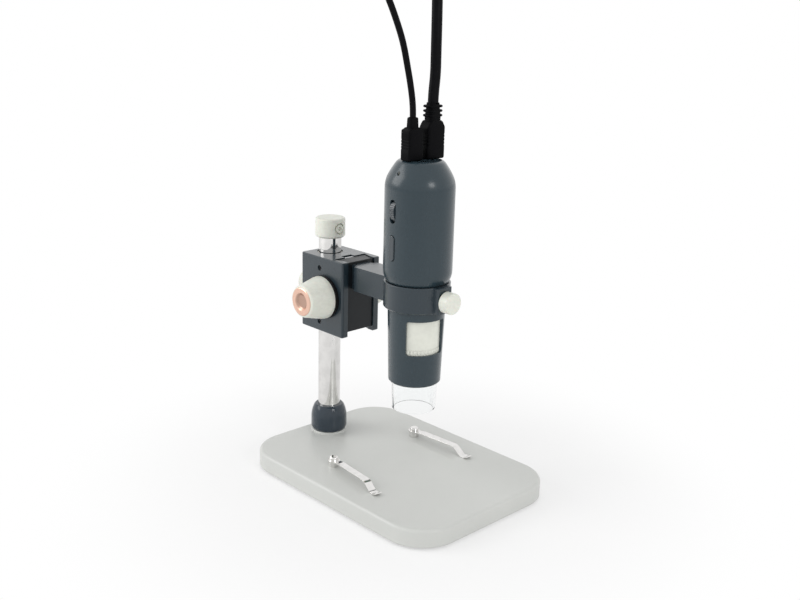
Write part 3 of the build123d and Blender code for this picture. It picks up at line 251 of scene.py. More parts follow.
def moulded_grain():
    """The fine spark-eroded grain of moulded plastic and the orange peel of paint."""

    def build(nodes, start):
        fine = nodes.noise(start["Vector"], start["Scale"], 4.0, 0.6)
        coarse = nodes.noise(start["Vector"], nodes.maths("MULTIPLY", start["Scale"], 0.22), 2.0)
        cells = nodes.add("ShaderNodeTexVoronoi", Vector=start["Vector"], Scale=start["Scale"])
        pits = nodes.span(cells.outputs["Distance"], 0.0, 0.55)
        mixed = nodes.maths("MULTIPLY_ADD", fine, 0.55, nodes.maths("MULTIPLY", pits, 0.25))
        height = nodes.maths("MULTIPLY_ADD", coarse, start["Waviness"], mixed)
        return {"Height": height, "Mottle": nodes.span(coarse, 0.3, 0.7)}

    inputs = [("Vector", VECTOR, None), ("Scale", FLOAT, 3000.0), ("Waviness", FLOAT, 0.4)]
    return group("Moulded Grain", inputs, [("Height", FLOAT), ("Mottle", FLOAT)], build)


def worn_edges():
    """A mask of edges that have been rubbed, and the softened normal of those edges."""

    def build(nodes, start):
        bevel = nodes.add("ShaderNodeBevel", {"samples": 6}, Radius=start["Radius"])
        flat = nodes.add("ShaderNodeNewGeometry").outputs["Normal"]
        agree = nodes.vector("DOT_PRODUCT", bevel.outputs[0], flat, "Value")
        edge = nodes.span(agree, 0.995, 0.86)
        broken = nodes.span(nodes.noise(start["Vector"], start["Scale"], 5.0, 0.7), 0.42, 0.66)
        mask = nodes.maths("MULTIPLY", edge, broken, clamp=True)
        mask = nodes.maths("MULTIPLY", mask, start["Amount"], clamp=True)
        return {"Mask": mask, "Normal": bevel.outputs[0]}

    inputs = [
        ("Vector", VECTOR, None),
        ("Radius", FLOAT, 0.0004),
        ("Scale", FLOAT, 700.0),
        ("Amount", FLOAT, 0.5),
    ]
    return group("Worn Edges", inputs, [("Mask", FLOAT), ("Normal", VECTOR)], build)


def handling_marks():
    """Faint smears and dust, as a change of roughness and a pale veil on upward faces."""

    def build(nodes, start):
        smear = nodes.noise(nodes.vector("MULTIPLY", start["Vector"], (1.0, 1.0, 0.35)), 70.0, 4.0)
        specks = nodes.noise(start["Vector"], 900.0, 2.0, 0.8)
        normal = nodes.add("ShaderNodeNewGeometry").outputs["Normal"]
        up = nodes.add("ShaderNodeSeparateXYZ", Vector=normal)
        lying = nodes.span(up.outputs["Z"], 0.35, 0.95)
        dust = nodes.maths("MULTIPLY", nodes.span(specks, 0.60, 0.74), lying)
        smear = nodes.span(smear, 0.35, 0.7)
        rough = nodes.maths("MULTIPLY_ADD", smear, start["Smear"], start["Roughness"])
        return {"Roughness": rough, "Dust": nodes.maths("MULTIPLY", dust, start["Dust"])}

    inputs = [
        ("Vector", VECTOR, None),
        ("Roughness", FLOAT, 0.4),
        ("Smear", FLOAT, 0.08),
        ("Dust", FLOAT, 0.05),
    ]
    return group("Handling Marks", inputs, [("Roughness", FLOAT), ("Dust", FLOAT)], build)


def turned_rings():
    """The fine grooves that a lathe leaves, round an axis through the vector's origin along Z."""

    def build(nodes, start):
        radius, height = nodes.from_axis(start["Vector"])
        along = nodes.maths("ADD", radius, height)
        line = nodes.add("ShaderNodeCombineXYZ", X=nodes.maths("MULTIPLY", along, start["Lines"]))
        grooves = nodes.noise(line.outputs[0], 1.0, 3.0, 0.7)
        return {"Height": grooves, "Radius": radius}

    inputs = [("Vector", VECTOR, None), ("Lines", FLOAT, 6000.0)]
    return group("Turned Rings", inputs, [("Height", FLOAT), ("Radius", FLOAT)], build)


# -------------------------------------------------------------- materials
DUST = (0.55, 0.54, 0.50)
BRIGHT_EDGE = (0.95, 0.95, 0.95)


class Finish:
    """A material with a Principled BSDF, object coordinates and ways to feed it."""

    def __init__(self, name, **sockets):
        self.material = bpy.data.materials.new(name)
        self.material.use_nodes = True
        tree = self.material.node_tree
        self.nodes = Nodes(tree)
        self.shader = next(n for n in tree.nodes if n.type == "BSDF_PRINCIPLED")
        self.place = self.nodes.add("ShaderNodeTexCoord").outputs["Object"]
        for key, value in sockets.items():
            self.shader.inputs[key.replace("_", " ")].default_value = value

    def use(self, tree, **inputs):
        """Places a shader group and returns its outputs."""
        node = self.nodes.add("ShaderNodeGroup", {"node_tree": tree})
        for key, value in inputs.items():
            self.nodes.feed(node, key, value)
        return node.outputs

    def local(self, point, turn=(0, 0, 0)):
        """Object coordinates moved to a point and turned, for a pattern centred on a piece."""
        mapping = self.nodes.add("ShaderNodeMapping", {"vector_type": "TEXTURE"}, Vector=self.place)
        mapping.inputs["Location"].default_value = point
        mapping.inputs["Rotation"].default_value = turn
        return mapping.outputs[0]

    def grain(self, scale, waviness):
        """The shader group for moulded grain, placed."""
        return self.use(moulded_grain(), Vector=self.place, Scale=scale, Waviness=waviness)

    def marks(self, roughness, smear, dust=0.0):
        """The shader group for smears and dust, placed."""
        values = {"Roughness": roughness, "Smear": smear, "Dust": dust}
        return self.use(handling_marks(), Vector=self.place, **values)

    def edges(self, amount, **inputs):
        """The shader group for worn edges, placed."""
        return self.use(worn_edges(), Vector=self.place, Amount=amount, **inputs)

    def set(self, **values):
        """Links colours, masks and values to the shader."""
        for key, value in values.items():
            self.nodes.feed(self.shader, key.replace("_", " "), value)

    def done(self, shade, roughness, height, strength, microns, normal=None):
        """Feeds the shader its colour, roughness and bumps, and gives the material."""
        bump = self.nodes.add(
            "ShaderNodeBump", Height=height, Strength=strength, Distance=microns * MICRON
        )
        if normal is not None:
            self.nodes.feed(bump, "Normal", normal)
        self.set(Base_Color=shade, Roughness=roughness, Normal=bump.outputs[0])
        return self.material


def tint_of(tint):
    """A colour, which may be given by the name of its setting."""
    return tuple(getattr(settings("micro_finish"), tint)) if isinstance(tint, str) else tint


def shaded(tint, factor):
    """A colour made darker or lighter by a factor."""
    return tuple(c * factor for c in tint)


def moulded(name, tint, roughness, grain, microns, worn=0.35, lighter=1.6, dust=0.10, **sockets):
    """Moulded or painted finish with grain, mottle, worn edges, smears and a little dust."""
    tint = tint_of(tint)
    finish = Finish(name, **sockets)
    skin = finish.grain(grain, 0.35)
    edges = finish.edges(worn)
    marks = finish.marks(roughness, 0.07, dust)
    pale = tuple(min(1.0, c * lighter + 0.02) for c in tint)
    shade = finish.nodes.blend(skin["Mottle"], shaded(tint, 0.93), tint)
    shade = finish.nodes.blend(edges["Mask"], shade, pale)
    shade = finish.nodes.blend(marks["Dust"], shade, DUST)
    rough = marks["Roughness"]
    return finish.done(shade, rough, skin["Height"], 0.35, microns, edges["Normal"])


def polished(name, tint, roughness, lines, strength):
    """Bare metal, turned or drawn, with faint grooves, smears and tarnish."""
    finish = Finish(name, Metallic=1.0)
    rings = finish.use(turned_rings(), Vector=finish.place, Lines=lines)
    marks = finish.marks(roughness, 0.06)
    edges = finish.edges(0.3, Radius=0.2 * MM)
    cloud = finish.nodes.span(finish.nodes.noise(finish.place, 160.0), 0.35, 0.7)
    shade = finish.nodes.blend(cloud, tint, shaded(tint, 0.90))
    shade = finish.nodes.blend(edges["Mask"], shade, BRIGHT_EDGE)
    rough = marks["Roughness"]
    return finish.done(shade, rough, rings["Height"], strength, 20, edges["Normal"])


def clear(name, tint, ior, roughness, grain):
    """Clear glass or plastic with faint smears."""
    finish = Finish(name, Transmission_Weight=1.0, IOR=ior)
    skin = finish.grain(grain, 0.8)
    marks = finish.marks(roughness, 0.04)
    shade = finish.nodes.blend(skin["Mottle"], tint, shaded(tint, 0.985))
    return finish.done(shade, marks["Roughness"], skin["Height"], 0.05, 10)


# Each row: tint or its setting, roughness, grain's scale, grain's depth in microns, and the rest.
MOULDED = {
    # silky cream of the knobs and the pillar's cap
    "cream_plastic": (
        "cream", 0.30, 2400.0, 30,
        dict(worn=0.3, lighter=1.05, dust=0.0, Subsurface_Weight=0.04, Subsurface_Scale=0.002),
    ),
    # glossy cream of the focus ring
    "ring_gloss": (
        "cream", 0.18, 900.0, 15,
        dict(worn=0.2, lighter=1.05, dust=0.0, Coat_Weight=0.3, Coat_Roughness=0.06),
    ),
    # dark blue-grey moulding of the microscope's body
    "body_plastic": (
        "body", 0.25, 2600.0, 20,
        dict(
            lighter=2.2, dust=0.04, IOR=1.38,
            Coat_Weight=0.6, Coat_IOR=1.38, Coat_Roughness=0.20,
        ),
    ),
    # dark blue-grey anodised metalwork, finely blasted
    "anodised_block": (
        "metalwork", 0.26, 3600.0, 25,
        dict(
            worn=0.4, lighter=2.6, dust=0.05, IOR=1.40,
            Coat_Weight=0.9, Coat_IOR=1.35, Coat_Roughness=0.28,
        ),
    ),
    # black anodised carriage, smooth where it slides
    "slide_black": (
        "carriage", 0.34, 3600.0, 20, dict(worn=0.3, lighter=3.0, dust=0.03, IOR=1.38),
    ),
    # gloss paint of the foot collar
    "collar_slate": (
        "collar", 0.14, 900.0, 12,
        dict(worn=0.2, dust=0.05, IOR=1.40, Coat_Weight=0.25, Coat_Roughness=0.05),
    ),
    # painted underside plate
    "ballast_steel": ((0.035, 0.036, 0.038), 0.5, 1600.0, 60, dict(lighter=2.0, dust=0.0)),
    # matt black rubber
    "rubber": ((0.018, 0.018, 0.018), 0.72, 1800.0, 80, dict(worn=0.2, lighter=2.0, dust=0.2)),
    # natural nylon of the sleeve and the liner
    "nylon": ((0.62, 0.61, 0.56), 0.42, 1400.0, 40, dict(worn=0.2, lighter=1.1, dust=0.0)),
    # black acetal friction discs
    "black_disc": (
        (0.006, 0.006, 0.007), 0.38, 2400.0, 20, dict(worn=0.2, lighter=2.0, IOR=1.35),
    ),
    # black gloss wheel and button
    "control_plastic": (
        (0.030, 0.042, 0.052), 0.14, 2400.0, 20,
        dict(worn=0.15, dust=0.0, Coat_Weight=0.4, Coat_Roughness=0.06),
    ),
    # frosted light pipe, unlit
    "status_lens": (
        (0.10, 0.11, 0.10), 0.25, 1200.0, 20, dict(worn=0.0, dust=0.0, Transmission_Weight=0.35),
    ),
    # black moulded package with a paler edge
    "chip_black": ((0.016, 0.016, 0.017), 0.5, 2600.0, 40, dict(worn=0.5, lighter=3.0, dust=0.0)),
    # black moulded plug with a fine grain
    "plug_black": ("cable", 0.42, 2200.0, 50, dict(worn=0.15, lighter=1.5, dust=0.0, IOR=1.13)),
}
# Each row: tint, roughness, grooves and their strength.
POLISHED = {
    "chrome": ((0.80, 0.79, 0.775), 0.05, 2500.0, 0.03),
    "steel": ((0.56, 0.57, 0.58), 0.24, 5200.0, 0.10),
    "screw_steel": ((0.17, 0.17, 0.18), 0.32, 5200.0, 0.10),
    "brass": ((0.80, 0.62, 0.30), 0.24, 5200.0, 0.10),
}
# Each row: tint, index of refraction, roughness and grain's scale.
CLEAR = {
    "clear_plastic": ((0.975, 0.985, 0.985), 1.47, 0.02, 500.0),
    "lens_glass": ((0.90, 0.95, 0.97), 1.52, 0.0, 900.0),
}


def base_coating():
    """Pale powder coat with a fine fleck."""
    tint = tint_of("base")
    finish = Finish("powder_coat", Coat_Weight=0.50, Coat_Roughness=0.24, IOR=1.36)
    nodes = finish.nodes
    skin = finish.grain(1500.0, 0.5)
    edges = finish.edges(0.25, Radius=0.6 * MM)
    marks = finish.marks(0.46, 0.06)
    fleck = nodes.span(nodes.noise(finish.place, 2600.0, 2.0, 0.8), 0.62, 0.70)
    cloud = nodes.span(nodes.noise(finish.place, 22.0), 0.3, 0.7)
    shade = nodes.blend(cloud, shaded(tint, 0.97), tint)
    shade = nodes.blend(nodes.maths("MULTIPLY", fleck, 0.35), shade, (0.36, 0.36, 0.35))
    shade = nodes.blend(edges["Mask"], shade, (0.74, 0.74, 0.72))
    rough = marks["Roughness"]
    return finish.done(shade, rough, skin["Height"], 0.22, 40, edges["Normal"])


def copper():
    """Spun copper-coloured cap, its grooves round the knobs' axis and painted shade darkening its
    middle dimple.
    """
    tint = tint_of("copper")
    across = (0, math.pi / 2, 0)
    finish = Finish("copper", Metallic=1.0)
    place = finish.local(middle_of("knob_caps"), across)
    rings = finish.use(turned_rings(), Vector=place, Lines=2600.0)
    marks = finish.marks(0.30, 0.05)
    dimple_shade_fade = finish.nodes.span(rings["Radius"], 4.6 * MM, 5.8 * MM)
    # painted shade: the cap's middle dimple is painted darker, fading out towards the rim
    shade = finish.nodes.blend(dimple_shade_fade, shaded(tint, 0.62), tint)
    return finish.done(shade, marks["Roughness"], rings["Height"], 0.25, 50)


def black_metal():
    """Black anodised lens cell with fine turned grooves."""
    finish = Finish("black_metal", Metallic=0.6)
    centre = Vector((0, middle_of("lens_cell").y, 0))
    rings = finish.use(turned_rings(), Vector=finish.local(centre), Lines=2400.0)
    marks = finish.marks(0.42, 0.05)
    groove = finish.nodes.span(rings["Height"], 0.3, 0.7)
    shade = finish.nodes.blend(groove, (0.014, 0.014, 0.015), (0.030, 0.030, 0.032))
    return finish.done(shade, marks["Roughness"], rings["Height"], 0.4, 80)


def circuit_board():
    """Green solder mask with copper tracks under it."""
    finish = Finish("circuit_board", Coat_Weight=0.4, Coat_Roughness=0.2)
    brick = finish.nodes.add(
        "ShaderNodeTexBrick", {"offset": 0.35}, Vector=finish.place, Scale=420.0, Mortar_Size=0.06
    )
    track = finish.nodes.span(brick.outputs["Fac"], 0.3, 0.6)
    skin = finish.grain(1400.0, 0.4)
    shade = finish.nodes.blend(track, (0.010, 0.075, 0.030), (0.035, 0.160, 0.060))
    shade = finish.nodes.blend(skin["Mottle"], shade, (0.012, 0.085, 0.035))
    return finish.done(shade, finish.nodes.span(track, 0, 1, 0.42, 0.30), track, 0.4, 50)


def led_white():
    """Milky LEDs in a ring, each with a yellow phosphor middle."""
    ring_radius = 9.6 * MM
    finish = Finish("led_white", Subsurface_Weight=0.3, Subsurface_Scale=0.001)
    nodes = finish.nodes
    radius = nodes.from_axis(finish.local(middle_of("leds")))[0]
    off = nodes.maths("ABSOLUTE", nodes.maths("SUBTRACT", radius, ring_radius))
    core = nodes.span(off, 0.9 * MM, 0.35 * MM)
    shade = nodes.blend(core, (0.85, 0.85, 0.80), (0.86, 0.72, 0.16))
    rough = nodes.span(core, 0, 1, 0.22, 0.45)
    return finish.done(shade, rough, finish.grain(2400.0, 0.4)["Height"], 0.1, 20)


def cord_black():
    """Black cord jacket, with the faint shine of extruded plastic."""
    tint = tint_of("cable")
    finish = Finish("cord_black", IOR=1.16)
    skin = finish.grain(1300.0, 0.6)
    marks = finish.marks(0.34, 0.12, 0.01)
    shade = finish.nodes.blend(skin["Mottle"], tint, shaded(tint, 1.5))
    shade = finish.nodes.blend(marks["Dust"], shade, (0.35, 0.35, 0.33))
    return finish.done(shade, marks["Roughness"], skin["Height"], 0.25, 40)


SPECIAL = (base_coating, copper, black_metal, circuit_board, led_white, cord_black)
FINISHES = {}


def finish_for(slot):
    """The material of a record slot or of one of this file's own finishes, made once."""
    if slot not in FINISHES:
        if slot in MOULDED:
            *values, others = MOULDED[slot]
            FINISHES[slot] = moulded(slot, *values, **others)
        elif slot in POLISHED:
            FINISHES[slot] = polished(slot, *POLISHED[slot])
        elif slot in CLEAR:
            FINISHES[slot] = clear(slot, *CLEAR[slot])
        else:
            FINISHES[slot] = next(make for make in SPECIAL if make.__name__ == slot)()
    return FINISHES[slot]


# ------------------------------------------------------------ mesh making
WELD = 1e-7


def mesh_object(name, bm, material, smooth_angle=35.0):
    """A new object from a bmesh, with smooth shading between shallow faces."""
    bmesh.ops.remove_doubles(bm, verts=bm.verts, dist=WELD)
    bmesh.ops.recalc_face_normals(bm, faces=bm.faces)
    mesh = bpy.data.meshes.new(name)
    bm.to_mesh(mesh)
    bm.free()
    mesh.materials.append(finish_for(material))
    mesh.shade_smooth()
    mesh.set_sharp_from_angle(angle=math.radians(smooth_angle))
    return placed(name, mesh)


def skin(bm, low, high):
    """Joins two closed rings of points with faces."""
    for i in range(len(low)):
        j = (i + 1) % len(low)
        bm.faces.new((low[i], low[j], high[j], high[i]))


def capped(bm, rings):
    """Joins a stack of rings and closes both ends."""
    for low, high in zip(rings, rings[1:]):
        skin(bm, low, high)
    bm.faces.new(rings[0][::-1])
    bm.faces.new(rings[-1])


def lathed(name, profile, centre, material, steps=144):
    """A piece turned from a closed (radius, height) outline in mm, round the vertical."""
    bm = bmesh.new()
    rings = []
    for k in range(steps):
        turn = 2 * math.pi * k / steps
        ring = []
        for radius, height in profile:
            spot = Vector((radius * math.cos(turn), radius * math.sin(turn), height))
            ring.append(bm.verts.new(spot * MM + centre))
        rings.append(ring)
    for here, after in zip(rings, rings[1:] + rings[:1]):
        skin(bm, here, after)
    return mesh_object(name, bm, material)


def rounded_outline(half_x, half_y, corner, steps=8):
    """Points round a rectangle with round corners, in the XY plane."""
    corner = min(corner, half_x, half_y)
    points = []
    for quarter, (sx, sy) in enumerate(((1, 1), (-1, 1), (-1, -1), (1, -1))):
        x, y = sx * (half_x - corner), sy * (half_y - corner)
        for k in range(steps + 1):
            turn = math.pi / 2 * (quarter + k / steps)
            points.append((x + corner * math.cos(turn), y + corner * math.sin(turn)))
    return points


def lofted(name, sections, place, material="plug_black", smooth_angle=40.0):
    """A piece skinned over (height, half x, half y, corner) sections in mm, closed at both ends."""
    bm = bmesh.new()
    rings = []
    for height, half_x, half_y, corner in sections:
        outline = rounded_outline(half_x, half_y, corner)
        rings.append([bm.verts.new(place @ (Vector((x, y, height)) * MM)) for x, y in outline])
    capped(bm, rings)
    return mesh_object(name, bm, material, smooth_angle)


# -------------------------------------------------------- geometry nodes
REPEATS = {}


def repeat_tree(kind):
    """A Geometry Nodes tree that repeats a piece along a line or round a circle."""
    if kind in REPEATS:
        return REPEATS[kind]
    tree = bpy.data.node_groups.new(f"Repeat {kind}", "GeometryNodeTree")
    labels = ("Geometry", "Count", "Step", "Centre", "Material")
    kinds = ("Geometry", "Int", "Vector", "Vector", "Material")
    for label, socket in zip(labels, kinds):
        tree.interface.new_socket(name=label, in_out="INPUT", socket_type=f"NodeSocket{socket}")
    tree.interface.new_socket(name="Geometry", in_out="OUTPUT", socket_type="NodeSocketGeometry")
    nodes = Nodes(tree)
    start = tree.nodes.new("NodeGroupInput").outputs
    end = tree.nodes.new("NodeGroupOutput")
    points = nodes.add("GeometryNodePoints", Count=start["Count"]).outputs[0]
    index = nodes.add("GeometryNodeInputIndex").outputs[0]
    if kind == "Circle":
        part = nodes.maths("DIVIDE", index, start["Count"])
        turn = nodes.maths("MULTIPLY", part, 2 * math.pi)
        rotation = nodes.add("ShaderNodeCombineXYZ", Z=turn).outputs[0]
        offset = start["Centre"]
    else:
        rotation = (0.0, 0.0, 0.0)
        steps = nodes.add(
            "ShaderNodeVectorMath", {"operation": "SCALE"}, Vector=start["Step"], Scale=index
        )
        offset = nodes.vector("ADD", steps.outputs[0], start["Centre"])
    moved = nodes.add("GeometryNodeSetPosition", Geometry=points, Position=offset).outputs[0]
    copies = nodes.add(
        "GeometryNodeInstanceOnPoints", Points=moved, Instance=start["Geometry"], Rotation=rotation
    ).outputs[0]
    real = nodes.add("GeometryNodeRealizeInstances", Geometry=copies).outputs[0]
    dressed = nodes.add(
        "GeometryNodeSetMaterial", Geometry=real, Material=start["Material"]
    ).outputs[0]
    nodes.feed(end, "Geometry", dressed)
    REPEATS[kind] = tree
    return tree


def evaluated(obj):
    """A new mesh of an object as it looks with its modifiers or its curve's bevel."""
    graph = bpy.context.evaluated_depsgraph_get()
    graph.update()
    return bpy.data.meshes.new_from_object(obj.evaluated_get(graph), depsgraph=graph)


def repeated(obj, kind, count, material, step=(0, 0, 0), centre=(0, 0, 0)):
    """Repeats an object's mesh with a Geometry Nodes tree and keeps the result as its mesh."""
    tree = repeat_tree(kind)
    modifier = obj.modifiers.new("repeat", "NODES")
    modifier.node_group = tree
    wanted = {"Count": count, "Step": step, "Centre": centre, "Material": finish_for(material)}
    for item in tree.interface.items_tree:
        if item.in_out == "INPUT" and item.name in wanted:
            modifier[item.identifier] = wanted[item.name]
    mesh = evaluated(obj)
    obj.modifiers.clear()
    obj.data = mesh


def joined(name, objects):
    """One object from several, which go away."""
    bm = bmesh.new()
    materials = []
    for obj in objects:
        start = len(bm.faces)
        bm.from_mesh(obj.data)
        bm.faces.ensure_lookup_table()
        own = list(obj.data.materials)
        for face in bm.faces[start:]:
            material = own[face.material_index]
            if material not in materials:
                materials.append(material)
            face.material_index = materials.index(material)
    mesh = bpy.data.meshes.new(name)
    bm.to_mesh(mesh)
    bm.free()
    for material in materials:
        mesh.materials.append(material)
    for obj in objects:
        bpy.data.objects.remove(obj)
    return placed(name, mesh)


def settle(obj, body, slot, *replaced):
    """Rides a finished piece on its body and hides what it stands for. The slot is not used."""
    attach(obj, body)
    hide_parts(*replaced)


# ------------------------------------------------------------------ cords
# Sizes are in mm. The route is the cord's centre line, from the near plug to the far one. A body is
# (half x, half y, height). A shoulder is (how far it slopes inwards, how far down it starts). A
# plug without a relief has a plain neck.
CORDS = {
    "hdmi": dict(
        stiffness="stiff",
        route=[
            (8.0, -13.0, 229.0), (8.0, -13.0, 234.0), (9.2, -13.0, 244.5), (9.0, -13.0, 256.0),
            (9.3, -12.6, 268.0), (9.9, -11.8, 280.0), (10.8, -10.6, 292.0),
        ],
        body=(6.6, 4.2, 21.0), corner=1.5, shoulder=(2.0, 3.4), tongue=(3.3, 1.45),
        relief=dict(core=(4.0, 3.4), flange=(5.4, 3.6), first=2.0, count=3, tip=3.0),
        far_body=(10.25, 5.25, 24.0), far_metal=(7.0, 2.25, 11.0), far_relief=8.0, far_tip=3.2,
    ),
    "usb": dict(
        stiffness="medium",
        route=[
            (-7.3, -13.0, 222.1), (-7.3, -13.0, 227.5), (-9.3, -13.0, 238.0),
            (-12.3, -13.0, 249.0), (-15.9, -13.0, 261.5), (-20.6, -12.8, 272.0),
            (-25.7, -12.5, 282.0), (-31.1, -12.1, 291.5),
        ],
        body=(5.5, 3.8, 18.0), corner=1.3, shoulder=(1.8, 1.5), tongue=(3.45, 0.95),
        relief=None,
        far_body=(7.8, 3.8, 20.0), far_metal=(6.0, 2.25, 12.0), far_relief=7.0, far_tip=2.2,
    ),
}
FAR_CORNER = 2.0
FAR_SHOULDER = (2.0, 2.6)
FAR_FLANGES = dict(first=0.6, count=2)
PLUG_GAP = 0.1
SHEET = 0.35
ROUND = math.inf
# A flange's soft edge, as a share of its thickness.
SOFT_EDGE = 0.28
# Finger grooves: their places as shares of the plug's height, their half width at the foot and at
# the rim, and their depth, in mm.
GROOVES = (0.36, 0.45, 0.54, 0.63)
GROOVE_FOOT = 0.25
GROOVE_RIM = 0.55
GROOVE_DEPTH = 0.22


def cord_curve(name, route, diameter):
    """A smooth tube along a cord's route."""
    curve = bpy.data.curves.new(name, "CURVE")
    curve.dimensions = "3D"
    spline = curve.splines.new("NURBS")
    spline.points.add(len(route) - 1)
    for point, place in zip(spline.points, route):
        point.co = (*[v * MM for v in place], 1.0)
        point.radius = diameter / 2
    spline.order_u = 3
    spline.use_endpoint_u = True
    spline.resolution_u = 16
    curve.bevel_depth = 1.0
    curve.bevel_resolution = 8
    curve.use_fill_caps = True
    curve.materials.append(finish_for("cord_black"))
    return placed(name, curve)


def line_length(obj):
    """The length of a curve's own line, in metres."""
    depth = obj.data.bevel_depth
    obj.data.bevel_depth = 0.0
    mesh = evaluated(obj)
    ends = [[mesh.vertices[i].co for i in edge.vertices] for edge in mesh.edges]
    length = sum((first - second).length for first, second in ends)
    bpy.data.meshes.remove(mesh)
    obj.data.bevel_depth = depth
    return length


def far_frame(route):
    """The frame at a route's far end, its Z along the last run and its X across."""
    last, before = (Vector(p) * MM for p in (route[-1], route[-2]))
    along = (last - before).normalized()
    side = Vector((1, 0, 0))
    across = (side - along * side.dot(along)).normalized()
    axes = Matrix((across, along.cross(across), along)).transposed()
    return Matrix.Translation(last) @ axes.to_4x4()


def relief(name, place, low, length, core, flange, first, count, tip):
    """A strain relief: a core that narrows to the cord, with a stack of flanges round it."""
    sizes = settings("micro_cords")
    pitch, thick = sizes.flange_gap / MM, sizes.flange_thickness / MM
    top = low + length
    sections = [
        (low - 0.4, *core, 2.0),
        (low + first, *core, 2.0),
        (low + first + count * pitch, core[0] * 0.86, core[1] * 0.90, 2.6),
        (top - 0.3, tip * 1.06, tip * 1.06, ROUND),
        (top, tip * 0.98, tip * 0.98, ROUND),
    ]
    stem = lofted(f"{name}_core", sections, place, smooth_angle=50)
    soft = thick * SOFT_EDGE
    edge, face = (flange[0] - soft, flange[1] - soft, 2.2), (*flange, 2.4)
    sections = [
        (-thick / 2, *edge),
        (-thick / 2 + soft, *face),
        (thick / 2 - soft, *face),
        (thick / 2, *edge),
    ]
    stack = lofted(f"{name}_flanges", sections, Matrix(), smooth_angle=50)
    centre = (0, 0, (low + first + thick / 2) * MM)
    repeated(stack, "Line", count, "plug_black", step=(0, 0, sizes.flange_gap), centre=centre)
    stack.data.transform(place)
    return [stem, stack]


class MICRO_OT_cords(bpy.types.Operator):
    """Makes the video cord and the power cord."""

    bl_idname = "micro.cords"
    bl_label = "Cords"

    def execute(self, context):
        """Builds both cords as smooth curves and measures their lengths without keeping them."""
        sizes = settings("micro_cords")
        for name, plan in CORDS.items():
            route, diameter = plan["route"], getattr(sizes, f"{name}_diameter")
            cord = cord_curve(f"{name}_cord", route, diameter)
            settle(cord, "scope", "cord_black", f"{name}_cable")
            line_length(cord)
        return {"FINISHED"}


